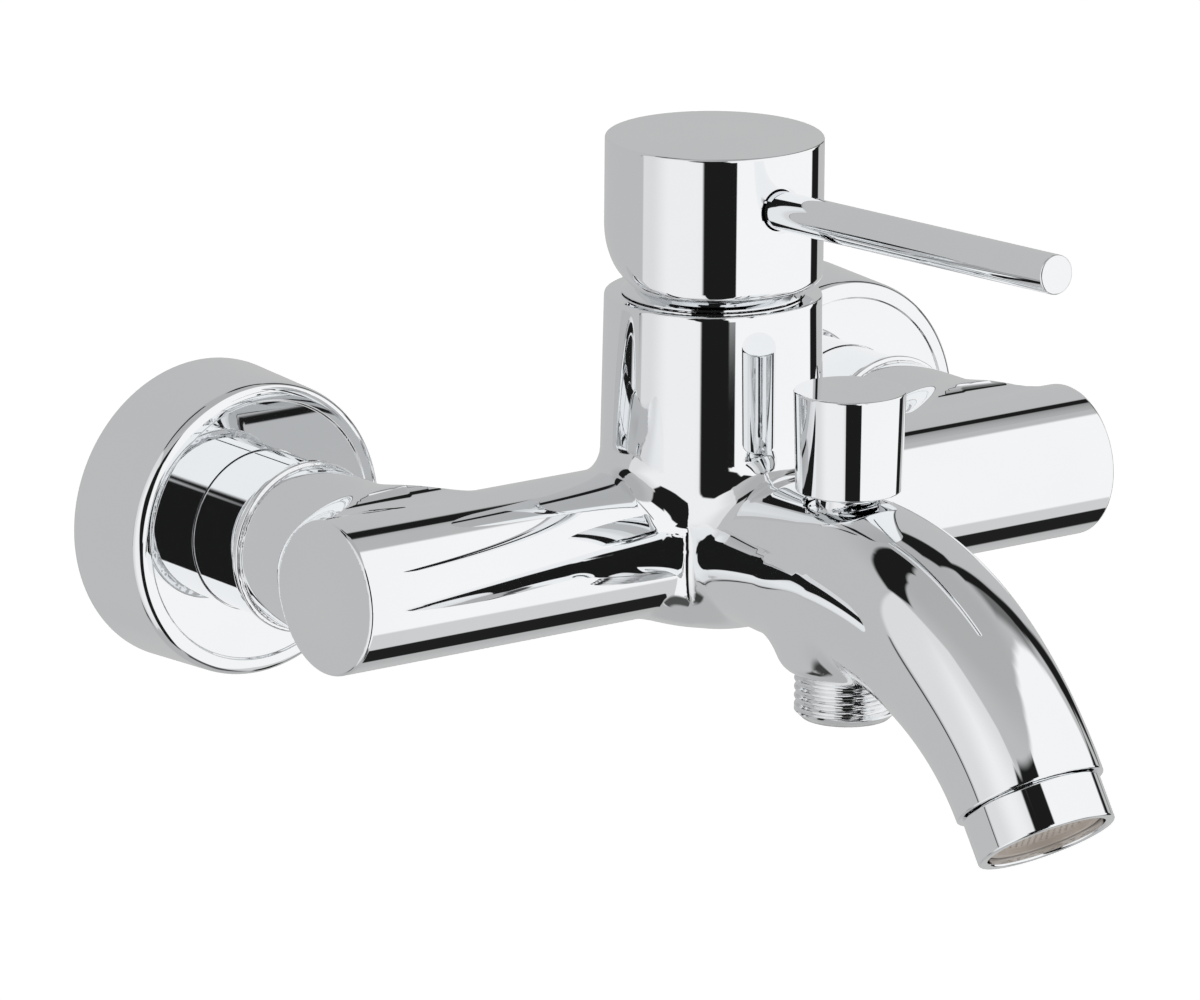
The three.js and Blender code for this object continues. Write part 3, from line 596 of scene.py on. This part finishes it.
MATERIALS = {
    "chrome": chrome(),
    "rough_chrome": rough_chrome(),
    "brass": brass(),
    "steel": steel(),
    "rubber": rubber(),
    "white_plastic": plastic("white_plastic", (0.74, 0.73, 0.69), (0.82, 0.81, 0.78), 0.35, 0.5),
    "grey_plastic": plastic("grey_plastic", (0.34, 0.35, 0.37), (0.44, 0.45, 0.47), 0.35, 0.5),
    "beige_plastic": plastic("beige_plastic", (0.36, 0.31, 0.27), (0.44, 0.39, 0.34), 0.4, 0.55),
    "ceramic": ceramic(),
}


# ---------------------------------------------------------------- body
GRID = 0.9


def faucet_body():
    half, tip, back = BAR["half"], -SPOUT_LENGTH, BRANCH_FACE - TOWER_Y
    bottom, top = BOSS["bottom"], TOWER["top"]
    # the grid reaches past the casting, and is fine at its narrow edges
    margin, lowest = 0.5, -20.5
    fine_across = [(-half - margin, -half + 1.2, 0.25), (half - 1.2, half + 0.6, 0.25)]
    fine_along = [(tip - margin, tip + 1, 0.2), (back - 3, back + 0.6, 0.25)]
    fine_up = [(bottom - 0.4, bottom + 1.6, 0.35), (top - 4, top + 0.6, 0.35)]
    across = graded(-half - margin, half + margin, GRID, fine_across)
    along = graded(tip - margin, back + margin, GRID, fine_along)
    up = graded(lowest, top + margin, GRID, fine_up)

    def place(grid):
        """The grid bends with the spout."""
        x, ahead, height = grid[:, 0], -grid[:, 1], grid[:, 2]
        angle = np.maximum(ahead - STRAIGHT, 0) / SPOUT["bend_radius"]
        reach = SPOUT["bend_radius"] + height
        y = np.where(angle > 0, SPOUT["bend_y"] - reach * np.sin(angle), TOWER_Y - ahead)
        z = np.where(angle > 0, reach * np.cos(angle) - SPOUT["bend_radius"], height)
        return np.stack([x, y, z], 1)

    points, quads = skin(casting, [across, along, up], place)
    piece = make_mesh("faucet_body_casting", points, quads)
    normals = slope(casting, points)
    normals /= np.maximum(np.linalg.norm(normals, axis=1), TINY)[:, None]
    piece.data.normals_split_custom_set_from_vertices(normals.tolist())
    stand_in(piece, "faucet_body", "chrome")


# ---------------------------------------------------------------- inlet pieces
def escutcheon(side, x):
    """A deep round cover, whose face lies one small step inside a narrow lip."""
    wall, face = COVER_HIGH[1], COVER_LOW[1]
    outer, front, hole = COVER_HIGH[0] - COVER_MID[0], 30.4, 16.75
    thick, lip, step, rim = 1.6, 27, 0.45, 2.4
    outline = soften([
        (hole, face + step, 0.15), (lip - 0.3, face + step, 0.25), (lip, face, 0.3), (front, face, rim),
        (outer, wall, 0.3), (outer - thick, wall, 0.3), (front - thick - 1, face + step + thick, 1.2),
        (hole, face + step + thick, 0.3),
    ], 10)
    piece = revolve(f"escutcheon_cover_{side}", outline, into_wall(x, 0), 224)
    stand_in(piece, f"escutcheon_{side}", "chrome")


def rubber_ring(name, node, inner, outer, low, high, place):
    """A ring with well rounded edges."""
    size = 0.45 * min(outer - inner, high - low)
    outline = soften([(inner, low, size), (outer, low, size), (outer, high, size), (inner, high, size)], 7)
    stand_in(revolve(name, outline, place, 96), node, "rubber")


def union_nut(side, x):
    radius = NUT_HIGH[2]
    front, back, lip, lip_bore, thread = NUT_LOW[1], NUT_HIGH[1], -24.3, 10.3, 13.4
    outline = soften([
        (lip_bore, front, 0.4), (radius, front, 0.6), (radius, back, 0.5), (thread, back, 0.5),
        (thread, lip), (lip_bore, lip, 0.3),
    ])
    piece = revolve(f"union_nut_{side}_turned", outline, into_wall(x, 0), 192)
    stand_in(piece, f"union_nut_{side}", "chrome")


G_PITCH = 1.814


def threaded(name, outline, low, high, depth, place, sides=96):
    """Turns an outline and presses a right-hand thread into what lies between low and high."""
    sharpness, runout, wall_slack = 1.3, 0.35 * G_PITCH, 0.05
    piece = revolve(name, outline, Matrix(), sides, exact=False)
    count = len(piece.data.vertices)
    points = np.empty(count * 3)
    piece.data.vertices.foreach_get("co", points)
    points = points.reshape(-1, 3) / MM
    radius = np.hypot(points[:, 0], points[:, 1])
    major = radius[(points[:, 2] >= low) & (points[:, 2] <= high)].max()
    turn = np.arctan2(points[:, 1], points[:, 0]) / (2 * math.pi)
    phase = (points[:, 2] / G_PITCH - turn) % 1
    tooth = ((1 - np.cos(2 * math.pi * phase)) / 2) ** sharpness
    fade = np.clip(np.minimum(points[:, 2] - low, high - points[:, 2]) / runout, 0, 1)
    cut = np.where(radius > major - wall_slack, depth * tooth * fade, 0)
    points[:, :2] *= (1 - cut / np.maximum(radius, ON_AXIS))[:, None]
    matrix = np.array(place)
    points = points @ matrix[:3, :3].T + matrix[:3, 3]
    piece.data.vertices.foreach_set("co", (points * MM).ravel())
    piece.data.update()
    return piece


def flight(radius, low, high):
    """Closely spaced points up a straight wall that is to be threaded."""
    points_per_turn = 14
    return [(radius, z) for z in np.linspace(low, high, int((high - low) / G_PITCH * points_per_turn))]


def eccentric_union(side, x):
    """Offset union: a threaded pipe end in the wall, an oval flange and a threaded end for the nut."""
    wall_radius, wall_tip, wall_start, offset, chamfer = 10.4, 20, -4, 8, 1.4
    nut_radius, nut_tip, nut_stop, nut_start = 13, -18.7, -10, -8
    wall_flange, nut_flange, flange_low, flange_high, flange_edge = 12, 14, -9, -3, 0.8
    # the two bores overlap between these heights, inside the flange
    bore, meet_low, meet_high = 6.5, -7, -4
    thread_start, depth = 2, 0.9
    wall_axis, nut_axis = into_wall(x, offset), into_wall(x, 0)

    def flange(name, radius, place):
        corners = [(0, flange_low), (radius, flange_low, flange_edge)]
        corners += [(radius, flange_high, flange_edge), (0, flange_high)]
        return revolve(name, soften(corners), place, 96, exact=False)

    wall_thread = flight(wall_radius, thread_start - 0.5, wall_tip - chamfer)
    wall_end = [(0, wall_start), (wall_radius, wall_start), *wall_thread]
    wall_end += [(wall_radius - chamfer, wall_tip), (0, wall_tip)]
    thread_end = wall_tip - chamfer
    piece = threaded(f"eccentric_union_{side}_turned", wall_end, thread_start, thread_end, depth, wall_axis)
    nut_thread = flight(nut_radius, nut_tip + 1, nut_stop)
    nut_end = [(0, nut_tip), (nut_radius - 1, nut_tip), *nut_thread, (nut_radius, nut_start), (0, nut_start)]
    inner = threaded("nut_end", nut_end, nut_tip + 1, nut_stop, depth, nut_axis)
    flanges = [flange("lower", nut_flange, nut_axis), flange("upper", wall_flange, wall_axis)]
    combine(piece, [inner, *flanges], "UNION")
    front_bore = rod("front_bore", bore, nut_tip - 1, meet_high, nut_axis, 48)
    wall_bore = rod("wall_bore", bore, meet_low, wall_tip + 1, wall_axis, 48)
    combine(piece, [front_bore, wall_bore], "DIFFERENCE")
    stand_in(shade(piece, 45), f"eccentric_union_{side}", "rough_chrome")


# ---------------------------------------------------------------- lever pieces
def trim_ring():
    """Narrow neck under the cap: its outside follows a ball about the lever's tilt axis."""
    ball, wall, outer, hole, skirt, inner = 26.9, 1.6, 18.65, 14.2, 17.3, 15.9
    low, seat = DOME_LOW[2], TOWER["top"] + 0.25

    def on_ball(radius, first, last):
        start, stop = (math.degrees(math.acos(at / radius)) for at in (first, last))
        return arc(0, PIVOT_Z, radius, radius, start, stop, 16)

    outline = [(inner, low), (skirt, low), (skirt, seat), (outer, seat)]
    outline += on_ball(ball, outer, hole) + on_ball(ball - wall, hole, inner)
    stand_in(revolve("trim_ring_turned", outline, upright(0, TOWER_Y), 192), "trim_ring", "chrome")


ROD = {"radius": 4, "length": 99, "tilt": math.radians(2.8), "start": (0, -84.5, 70.3)}
ROD_WAY = (0, -math.cos(ROD["tilt"]), math.sin(ROD["tilt"]))

# The cap's lower round is first turned as one elliptical arc of this depth and height, from the angle first
# at the rim up to the cap's side; relieve then shapes it.
CAP_ROUND = {"depth": 8, "height": 14, "first": -56.6, "centre": CAP_LOW[2] + 11.85, "rim_inner": 18.2}
# Sizes in front and at the back, and (start, length) of the change between them, where -1 is the front,
# 0 the sides and 1 the back.
RELIEF = {
    "rim": CAP_LOW[2] + 0.05, "rim_lift": 1.45, "lift_change": (-0.25, 0.55),
    "front_depth": 3.4, "front_height": 2.4, "back_height": 12.4, "round_change": (-0.55, 1.2),
}


def relieve(piece):
    """Makes the cap's lower round small in front and large behind, where the rim rises over the tower."""
    radius, slack = CAP_HIGH[0], 0.01
    depth, inner = CAP_ROUND["depth"], CAP_ROUND["rim_inner"]
    front_depth, front_height = RELIEF["front_depth"], RELIEF["front_height"]
    sink = math.sin(math.radians(CAP_ROUND["first"]))
    for vertex in piece.data.vertices:
        x, y, z = vertex.co.x / MM, vertex.co.y / MM - TOWER_Y, vertex.co.z / MM
        out, rise = math.hypot(x, y), (z - CAP_ROUND["centre"]) / CAP_ROUND["height"]
        if not -1 < rise < 0.001 or out < inner - slack:
            continue
        reach = 1 - math.sqrt(max(1 - rise ** 2, 0))
        on_curve = abs(out - radius + depth * reach) < slack
        if not on_curve and out > inner + slack:
            continue
        back = y / out
        height = RELIEF["rim"] + RELIEF["rim_lift"] * ramp(back, *RELIEF["lift_change"])
        if on_curve:
            grown = ramp(back, *RELIEF["round_change"])
            shrink = (radius - (front_depth + (depth - front_depth) * grown) * reach) / out
            height += (front_height + (RELIEF["back_height"] - front_height) * grown) * (rise - sink)
            vertex.co.x, vertex.co.y = x * shrink * MM, (y * shrink + TOWER_Y) * MM
        vertex.co.z = height * MM


def lever_cap():
    """The round cap, open below, with a square socket for the stem and holes for the rod and the screw."""
    radius, top, top_round = CAP_HIGH[0], CAP_HIGH[2], 0.6
    cavity, ceiling, step = 18.6, 58.6, 1.6
    socket, socket_top = 8.6, 68.6
    # round the rod the hole is a little wider from rebate_start on, just inside the cap's face
    rebate, rebate_start, outside = 0.8, 10.9, 20
    screw_z, screw, plug, plug_start, screw_end, plug_end = 63.5, 2.7, 3.3, 19, 19.2, 24
    depth, centre = CAP_ROUND["depth"], CAP_ROUND["centre"]
    lower_edge = arc(radius - depth, centre, depth, CAP_ROUND["height"], CAP_ROUND["first"], 0, 28)
    top_edge = arc(radius - top_round, top - top_round, top_round, top_round, 0, 90, 6)
    outline = [(CAP_ROUND["rim_inner"], lower_edge[0][1]), *lower_edge, *top_edge, (0, top)]
    outline += [(0, ceiling), (cavity, ceiling), (cavity, ceiling - step)]
    piece = revolve("lever_cap_turned", outline, upright(0, TOWER_Y), 256, exact=False)
    relieve(piece)
    back = into_wall(0, screw_z)
    along_rod = aimed(ROD_WAY, ROD["start"])
    combine(piece, [
        block("stem_socket", socket, socket, ceiling - 2, socket_top, upright(0, TOWER_Y)),
        rod("rod_hole", ROD["radius"] + GAP, -GAP, outside, along_rod, 96),
        rod("rod_rebate", ROD["radius"] + rebate, rebate_start, outside, along_rod, 96),
        rod("screw_hole", screw, TOWER_Y, TOWER_Y + screw_end, back),
        rod("plug_hole", plug, TOWER_Y + plug_start, TOWER_Y + plug_end, back),
    ], "DIFFERENCE")
    stand_in(shade(piece), "lever_cap", "chrome")


def lever_rod():
    radius, length = ROD["radius"], ROD["length"]
    outline = soften([(0, 0), (radius, 0, 0.3), (radius, length, 0.5), (0, length)], 6)
    stand_in(revolve("lever_rod_turned", outline, aimed(ROD_WAY, ROD["start"]), 128), "lever_rod", "chrome")


def screw_plug():
    """A small plug with a slightly domed end."""
    low, high, middle = span("grub_screw_plug")
    radius, dome, dome_share, dome_start = high[0], 1.1, 0.87, 40
    outline = soften([(0, low[1]), (radius, low[1], 0.2), (radius, high[1] - 0.4, 0.4)], 6)
    outline += arc(0, high[1] - dome, radius * dome_share, dome, dome_start, 90, 10)
    outline.append((0, high[1]))
    piece = revolve("grub_screw_plug_moulded", outline, into_wall(0, middle[2]), 64)
    stand_in(piece, "grub_screw_plug", "grey_plastic")


# ---------------------------------------------------------------- springs
def spring(node, wound, place, along):
    """A wire spring, wound as (radius, wire radius, turns), which rides with its body.
    """
    radius, wire, turns = wound
    low, high, middle = span(node)
    steps, sides = turns * 24, 10
    points, faces = [], []
    for i in range(steps + 1):
        turn = 2 * math.pi * turns * i / steps
        height = low[along] + wire + (high[along] - low[along] - 2 * wire) * i / steps
        for k in range(sides):
            around = 2 * math.pi * k / sides
            reach = radius + wire * math.cos(around)
            points.append((reach * math.cos(turn), reach * math.sin(turn), height + wire * math.sin(around)))
    for start in range(0, steps * sides, sides):
        for k in range(sides):
            m = (k + 1) % sides
            faces.append([start + k, start + sides + k, start + sides + m, start + m])
    faces += [list(range(sides)), list(range((steps + 1) * sides - 1, steps * sides - 1, -1))]
    matrix = np.array(place)
    piece = make_mesh(node + "_wound", np.array(points) @ matrix[:3, :3].T + matrix[:3, 3], faces)
    stand_in(piece, node, "steel")
    anchor = middle.copy()
    anchor[along] = low[along]
    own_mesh(piece)


# ---------------------------------------------------------------- diverter pieces
STEM_RADIUS = 2.5


def diverter_knob():
    low, top = KNOB_LOW[2], KNOB_HIGH[2]
    bottom_radius, top_radius = 10.7, KNOB_HIGH[0]
    bore, bore_top = STEM_RADIUS + GAP, 33.3
    outline = soften([
        (bore, low), (bottom_radius, low, 0.4), (top_radius, top, 0.45), (0, top),
        (0, bore_top), (bore, bore_top),
    ], 6)
    piece = revolve("diverter_knob_turned", outline, upright(0, DIVERTER_Y), 192)
    stand_in(piece, "diverter_knob", "chrome")


def diverter_stem():
    low, high, _ = span("diverter_stem")
    plate_low, plate_high, plate = -9.4, -8.4, 4.5
    outline = [
        (0, low[2]), (STEM_RADIUS, low[2]), (STEM_RADIUS, plate_low), (plate, plate_low),
        (plate, plate_high), (STEM_RADIUS, plate_high), (STEM_RADIUS, high[2]), (0, high[2]),
    ]
    piece = revolve("diverter_stem_turned", outline, upright(0, DIVERTER_Y), 64)
    stand_in(piece, "diverter_stem", "steel")


def diverter_bush():
    low, top = BUSH_LOW[2], BUSH_HIGH[2]
    bore, thread, shoulder, collar = STEM_RADIUS + GAP, BUSH_HIGH[0], 14.6, 6.6
    groove_radius, groove_low, groove_high = 4.6, 11, 13.2
    outline = soften([
        (bore, low), (thread, low, 0.3), (thread, shoulder, 0.3), (collar, shoulder + 0.2),
        (collar, top, 0.5), (bore, top, 0.3), (bore, groove_high), (groove_radius, groove_high),
        (groove_radius, groove_low), (bore, groove_low),
    ])
    piece = revolve("diverter_bush_turned", outline, upright(0, DIVERTER_Y), 128)
    stand_in(piece, "diverter_bush", "chrome")


def shower_outlet():
    low, top, seat = OUTLET_LOW[2], OUTLET_HIGH[2], BOSS["bottom"] - GAP
    major, neck, bore, chamfer, depth = OUTLET_HIGH[0], 8.9, 5, 1.5, 0.6
    outline = [
        (bore, low + 2), (bore + 2.2, low), (major - chamfer, low), *flight(major, low + chamfer, seat),
        (neck, seat), (neck, top), (bore, top),
    ]
    place = upright(0, DIVERTER_Y)
    piece = threaded("shower_outlet_threaded", outline, low + chamfer, seat, depth, place, 128)
    stand_in(shade(piece, 50), "shower_outlet", "rough_chrome")


# ---------------------------------------------------------------- aerator pieces
MOUTH_WAY = (0, -math.cos(SPOUT["bend"]), -math.sin(SPOUT["bend"]))
MOUTH = (
    0,
    SPOUT["bend_y"] - SPOUT["bend_radius"] * math.sin(SPOUT["bend"]),
    -SPOUT["bend_radius"] * (1 - math.cos(SPOUT["bend"])),
)


def aerator_housing():
    thread, ring, length, bore, inner = 12, 14.3, 9.7, 12.3, 10.2
    back, shelf = -6.5, 1.8
    outline = soften([
        (inner, back), (thread, back, 0.3), (thread, GAP), (ring, GAP, 0.35),
        (ring, length, 0.5), (bore, length, 0.5), (bore, shelf), (inner, shelf),
    ], 6)
    piece = revolve("aerator_housing_turned", outline, aimed(MOUTH_WAY, MOUTH), 192)
    stand_in(piece, "aerator_housing", "chrome")


def aerator_insert():
    """Moulded disc with a fine hexagonal grille, which straightens the jet."""
    radius, low, high, rim = 12, 2.1, 8.2, 9.6
    face = high - 0.9
    outline = soften([
        (0, low), (radius, low, 0.4), (radius, high, 0.5), (rim + 0.6, high, 0.3),
        (rim, face, 0.2), (0, face),
    ])
    piece = revolve("aerator_insert_moulded", outline, Matrix(), 128, exact=False)
    pitch, width, depth, rows = 1.5, 0.6, 1.2, 7
    cells = []
    for row in range(-rows, rows + 1):
        for column in range(-rows, rows + 1):
            x = (column + (row % 2) / 2) * pitch
            y = row * pitch * math.sqrt(3) / 2
            if math.hypot(x, y) < rim - pitch / 2:
                cells.append(hexagon_cell(x, y, width, face - depth, high + 1))
    combine(piece, [join(cells)], "DIFFERENCE")
    piece.data.transform(scaled(aimed(MOUTH_WAY, MOUTH)))
    stand_in(shade(piece), "aerator_insert", "beige_plastic")


def scaled(matrix):
    """The same placing for a mesh that is already in metres."""
    out = matrix.copy()
    out.translation = matrix.translation * MM
    return out


def hexagon_cell(x, y, width, low, high):
    """Points of one six-sided prism, flat to flat width."""
    reach = width / math.sqrt(3)
    ring = [(x + reach * math.cos(a), y + reach * math.sin(a)) for a in np.radians(np.arange(30, 390, 60))]
    return [(*p, low) for p in ring] + [(*p, high) for p in ring]


def join(cells):
    """One mesh of all the prisms."""
    points, faces = [], []
    for cell in cells:
        base = len(points)
        points.extend(cell)
        faces.append([base + k for k in (5, 4, 3, 2, 1, 0)])
        faces.append([base + 6 + k for k in range(6)])
        faces.extend([base + k, base + (k + 1) % 6, base + 6 + (k + 1) % 6, base + 6 + k] for k in range(6))
    return make_mesh("grille", points, faces)


# ---------------------------------------------------------------- build
faucet_body()
for side, x in (("left", -INLET_X), ("right", INLET_X)):
    escutcheon(side, x)
    union_nut(side, x)
    eccentric_union(side, x)
    place = into_wall(x, 0)
    rubber_ring(f"escutcheon_grip_{side}", f"escutcheon_ring_{side}", 16.95, 19.4, -20, -18, place)
    rubber_ring(f"union_washer_{side}", f"union_seal_{side}", 8, 12.4, -21.2, -19, place)
trim_ring()
lever_cap()
lever_rod()
screw_plug()
diverter_knob()
diverter_stem()
diverter_bush()
spring("diverter_spring", (3.7, 0.5, 5), upright(0, DIVERTER_Y), 2)
for side, x in (("left", -INLET_X), ("right", INLET_X)):
    spring("check_valve_spring_" + side, (3, 0.4, 4), into_wall(x, 0), 1)
shower_outlet()
aerator_housing()
aerator_insert()

slot_of = {part["node"]: part["material_slot"] for part in frame["record"]["subparts"]}
for name, node in frame["nodes"].items():
    node.data.materials.clear()
    node.data.materials.append(MATERIALS[slot_of[name]])


# ---------------------------------------------------------------- stage
def floor():
    """A plain pale floor well below the faucet."""
    size, height = 30, -0.6
    mesh = bpy.data.meshes.new("floor")
    corners = [(-size, -size, height), (size, -size, height), (size, size, height), (-size, size, height)]
    mesh.from_pydata(corners, [], [(0, 1, 2, 3)])
    plane = bpy.data.objects.new("floor", mesh)
    bpy.context.scene.collection.objects.link(plane)
    shader = Shader("pale_floor")
    shader.colour(shader.noise(2), (0.93, 0.93, 0.93), (0.95, 0.95, 0.95))
    shader.surface.inputs["Roughness"].default_value = 0.9
    shader.surface.inputs["Emission Color"].default_value = (1, 1, 1, 1)
    shader.surface.inputs["Emission Strength"].default_value = 0.5
    mesh.materials.append(shader.material)
    plane.visible_glossy = False


def camera():
    azimuth, elevation, roll = math.radians(-37.12), math.radians(14.9), math.radians(0.47)
    distance, target = 2.385, Vector((-0.0198, -0.0628, 0.0067))
    level = math.cos(elevation)
    back = Vector((math.sin(azimuth) * level, -math.cos(azimuth) * level, math.sin(elevation)))
    data = bpy.data.cameras.new("camera")
    data.sensor_width = 36
    data.lens = 352.6
    eye = bpy.data.objects.new("camera", data)
    bpy.context.scene.collection.objects.link(eye)
    eye.location = target + back * distance
    aim = (-back).to_track_quat("-Z", "Y").to_matrix()
    eye.rotation_euler = (aim @ Matrix.Rotation(roll, 3, "Z")).to_euler()
    bpy.context.scene.camera = eye


# Patches of the studio as the faucet sees them, painted in this order over the plain backdrop. Each has a
# brightness, the softness of its edge in degrees and the corners of a convex outline as (azimuth, elevation):
# azimuth from -Y towards +X, elevation above the horizon.
BACKDROP = 0.53
PATCHES = [
    (0.45, 12, [(-200, 55), (200, 55), (200, 100), (-200, 100)]),
    (0.47, 8, [(-200, -100), (200, -100), (200, -45), (-200, -45)]),
    # left softbox and its brighter middle
    (0.76, 1, [(-119, -66), (-50, -66), (-50, 30), (-62, 41), (-85, 49), (-116, 49)]),
    (0.92, 12, [(-100, -60), (-40, -60), (-48, 28), (-92, 34)]),
    (0.02, 0.4, [(-121.5, -12.5), (-119.8, -12.5), (-117.5, 10), (-118, 10)]),
    # right softbox
    (0.98, 2, [
        (-34, -66), (60, -62), (86, -50), (97, 12), (93, 32), (84, 46), (70, 55), (50, 61), (25, 62), (0, 57),
        (-26, 46),
    ]),
    (0.66, 1.2, [(42, -70), (95, -70), (92, -45), (60, -40.5), (44, -40)]),
    # gap between them, where the camera stands
    (0.012, 0.6, [(-46, -12), (-46, -74), (-8, -74), (-14, -12)]),
    (0.012, 1.2, [(-46, -17), (-14, -17), (-22, 8), (-24, 35), (-58, 35), (-66, 17), (-60, 0)]),
    (0.012, 1.5, [(-57, 27), (-24, 27), (-21, 48), (-50, 39)]),
    # stands and flags on the right
    (0.16, 5, [(94, 30), (108, 22), (112, 52), (92, 50)]),
    (0.012, 1, [(85, -56), (102, -56), (103, -15), (108, 6), (92, 10), (86, -15)]),
    (0.012, 1.2, [(103, 13), (112, 13), (122, -4), (114, -4)]),
    (0.012, 1.2, [(101, 31), (104, 6), (113, 6), (109, 31)]),
    (0.012, 1.2, [(107, 54), (100, 26), (108, 26), (118, 54)]),
    (0.012, 1.2, [(111, 52), (120, 47), (141, 51), (148, 61), (136, 66), (121, 65)]),
    # boom overhead
    (0.012, 1.2, [(-185, 68), (-146, 59), (-146, 76), (-185, 77)]),
    (0.012, 1.2, [(-150, 60), (-118, 47), (-106, 52), (-122, 67), (-150, 76)]),
    # table edge and legs below
    (0.015, 1, [(72, -49), (114, -49), (108, -58), (76, -58)]),
    (0.08, 3, [(0, -64), (90, -60), (90, -74), (10, -80)]),
    (0.05, 3, [(-147, -48), (-128, -43), (-126, -56), (-140, -58)]),
]


class Sky:
    """A world whose brightness depends on direction alone."""

    def __init__(self):
        world = bpy.data.worlds.new("studio")
        world.use_nodes = True
        bpy.context.scene.world = world
        self.tree = world.node_tree
        self.tree.nodes.clear()
        way = self.tree.nodes.new("ShaderNodeTexCoord").outputs["Generated"]
        split = self.tree.nodes.new("ShaderNodeSeparateXYZ")
        self.tree.links.new(way, split.inputs["Vector"])
        x, y, z = split.outputs
        degree = 180 / math.pi
        from_front = self.math("ARCTAN2", x, self.math("MULTIPLY", y, -1))
        self.azimuth = self.math("MULTIPLY", from_front, degree)
        self.elevation = self.math("MULTIPLY", self.math("ARCSINE", z), degree)

    def math(self, operation, *values):
        node = self.tree.nodes.new("ShaderNodeMath")
        node.operation = operation
        for socket, value in zip(node.inputs, values):
            if isinstance(value, (int, float)):
                socket.default_value = value
            else:
                self.tree.links.new(value, socket)
        return node.outputs[0]

    def inside(self, corners, soft):
        """1 inside a convex outline, 0 outside it, with a soft change between."""
        middle = np.mean(corners, 0)
        nearest = None
        for (x0, y0), (x1, y1) in zip(corners, corners[1:] + corners[:1]):
            length = math.hypot(x1 - x0, y1 - y0)
            nx, ny = (y0 - y1) / length, (x1 - x0) / length
            if nx * (middle[0] - x0) + ny * (middle[1] - y0) < 0:
                nx, ny = -nx, -ny
            depth = self.math("MULTIPLY_ADD", self.azimuth, nx, -nx * x0 - ny * y0)
            depth = self.math("MULTIPLY_ADD", self.elevation, ny, depth)
            nearest = depth if nearest is None else self.math("MINIMUM", nearest, depth)
        node = self.tree.nodes.new("ShaderNodeMapRange")
        node.interpolation_type = "SMOOTHSTEP"
        node.inputs["From Min"].default_value = -soft
        node.inputs["From Max"].default_value = soft
        self.tree.links.new(nearest, node.inputs["Value"])
        return node.outputs["Result"]

    def blend(self, below, above, mask):
        """above where mask is 1, below where it is 0."""
        kept = self.math("MULTIPLY", below, self.math("SUBTRACT", 1, mask))
        return self.math("ADD", kept, self.math("MULTIPLY", above, mask))

    def finish(self, brightness, shown):
        """brightness lights the faucet; the camera itself sees the plain value shown."""
        tree = self.tree
        seen = tree.nodes.new("ShaderNodeLightPath").outputs["Is Camera Ray"]
        background = tree.nodes.new("ShaderNodeBackground")
        tree.links.new(self.blend(brightness, shown, seen), background.inputs["Color"])
        output = tree.nodes.new("ShaderNodeOutputWorld")
        tree.links.new(background.outputs["Background"], output.inputs["Surface"])


def studio():
    sky = Sky()
    light = BACKDROP
    for brightness, soft, corners in PATCHES:
        light = sky.blend(light, brightness, sky.inside(corners, soft))
    sky.finish(light, 1.0)


camera()
floor()
studio()
view = bpy.context.scene.view_settings
view.view_transform = "Standard"
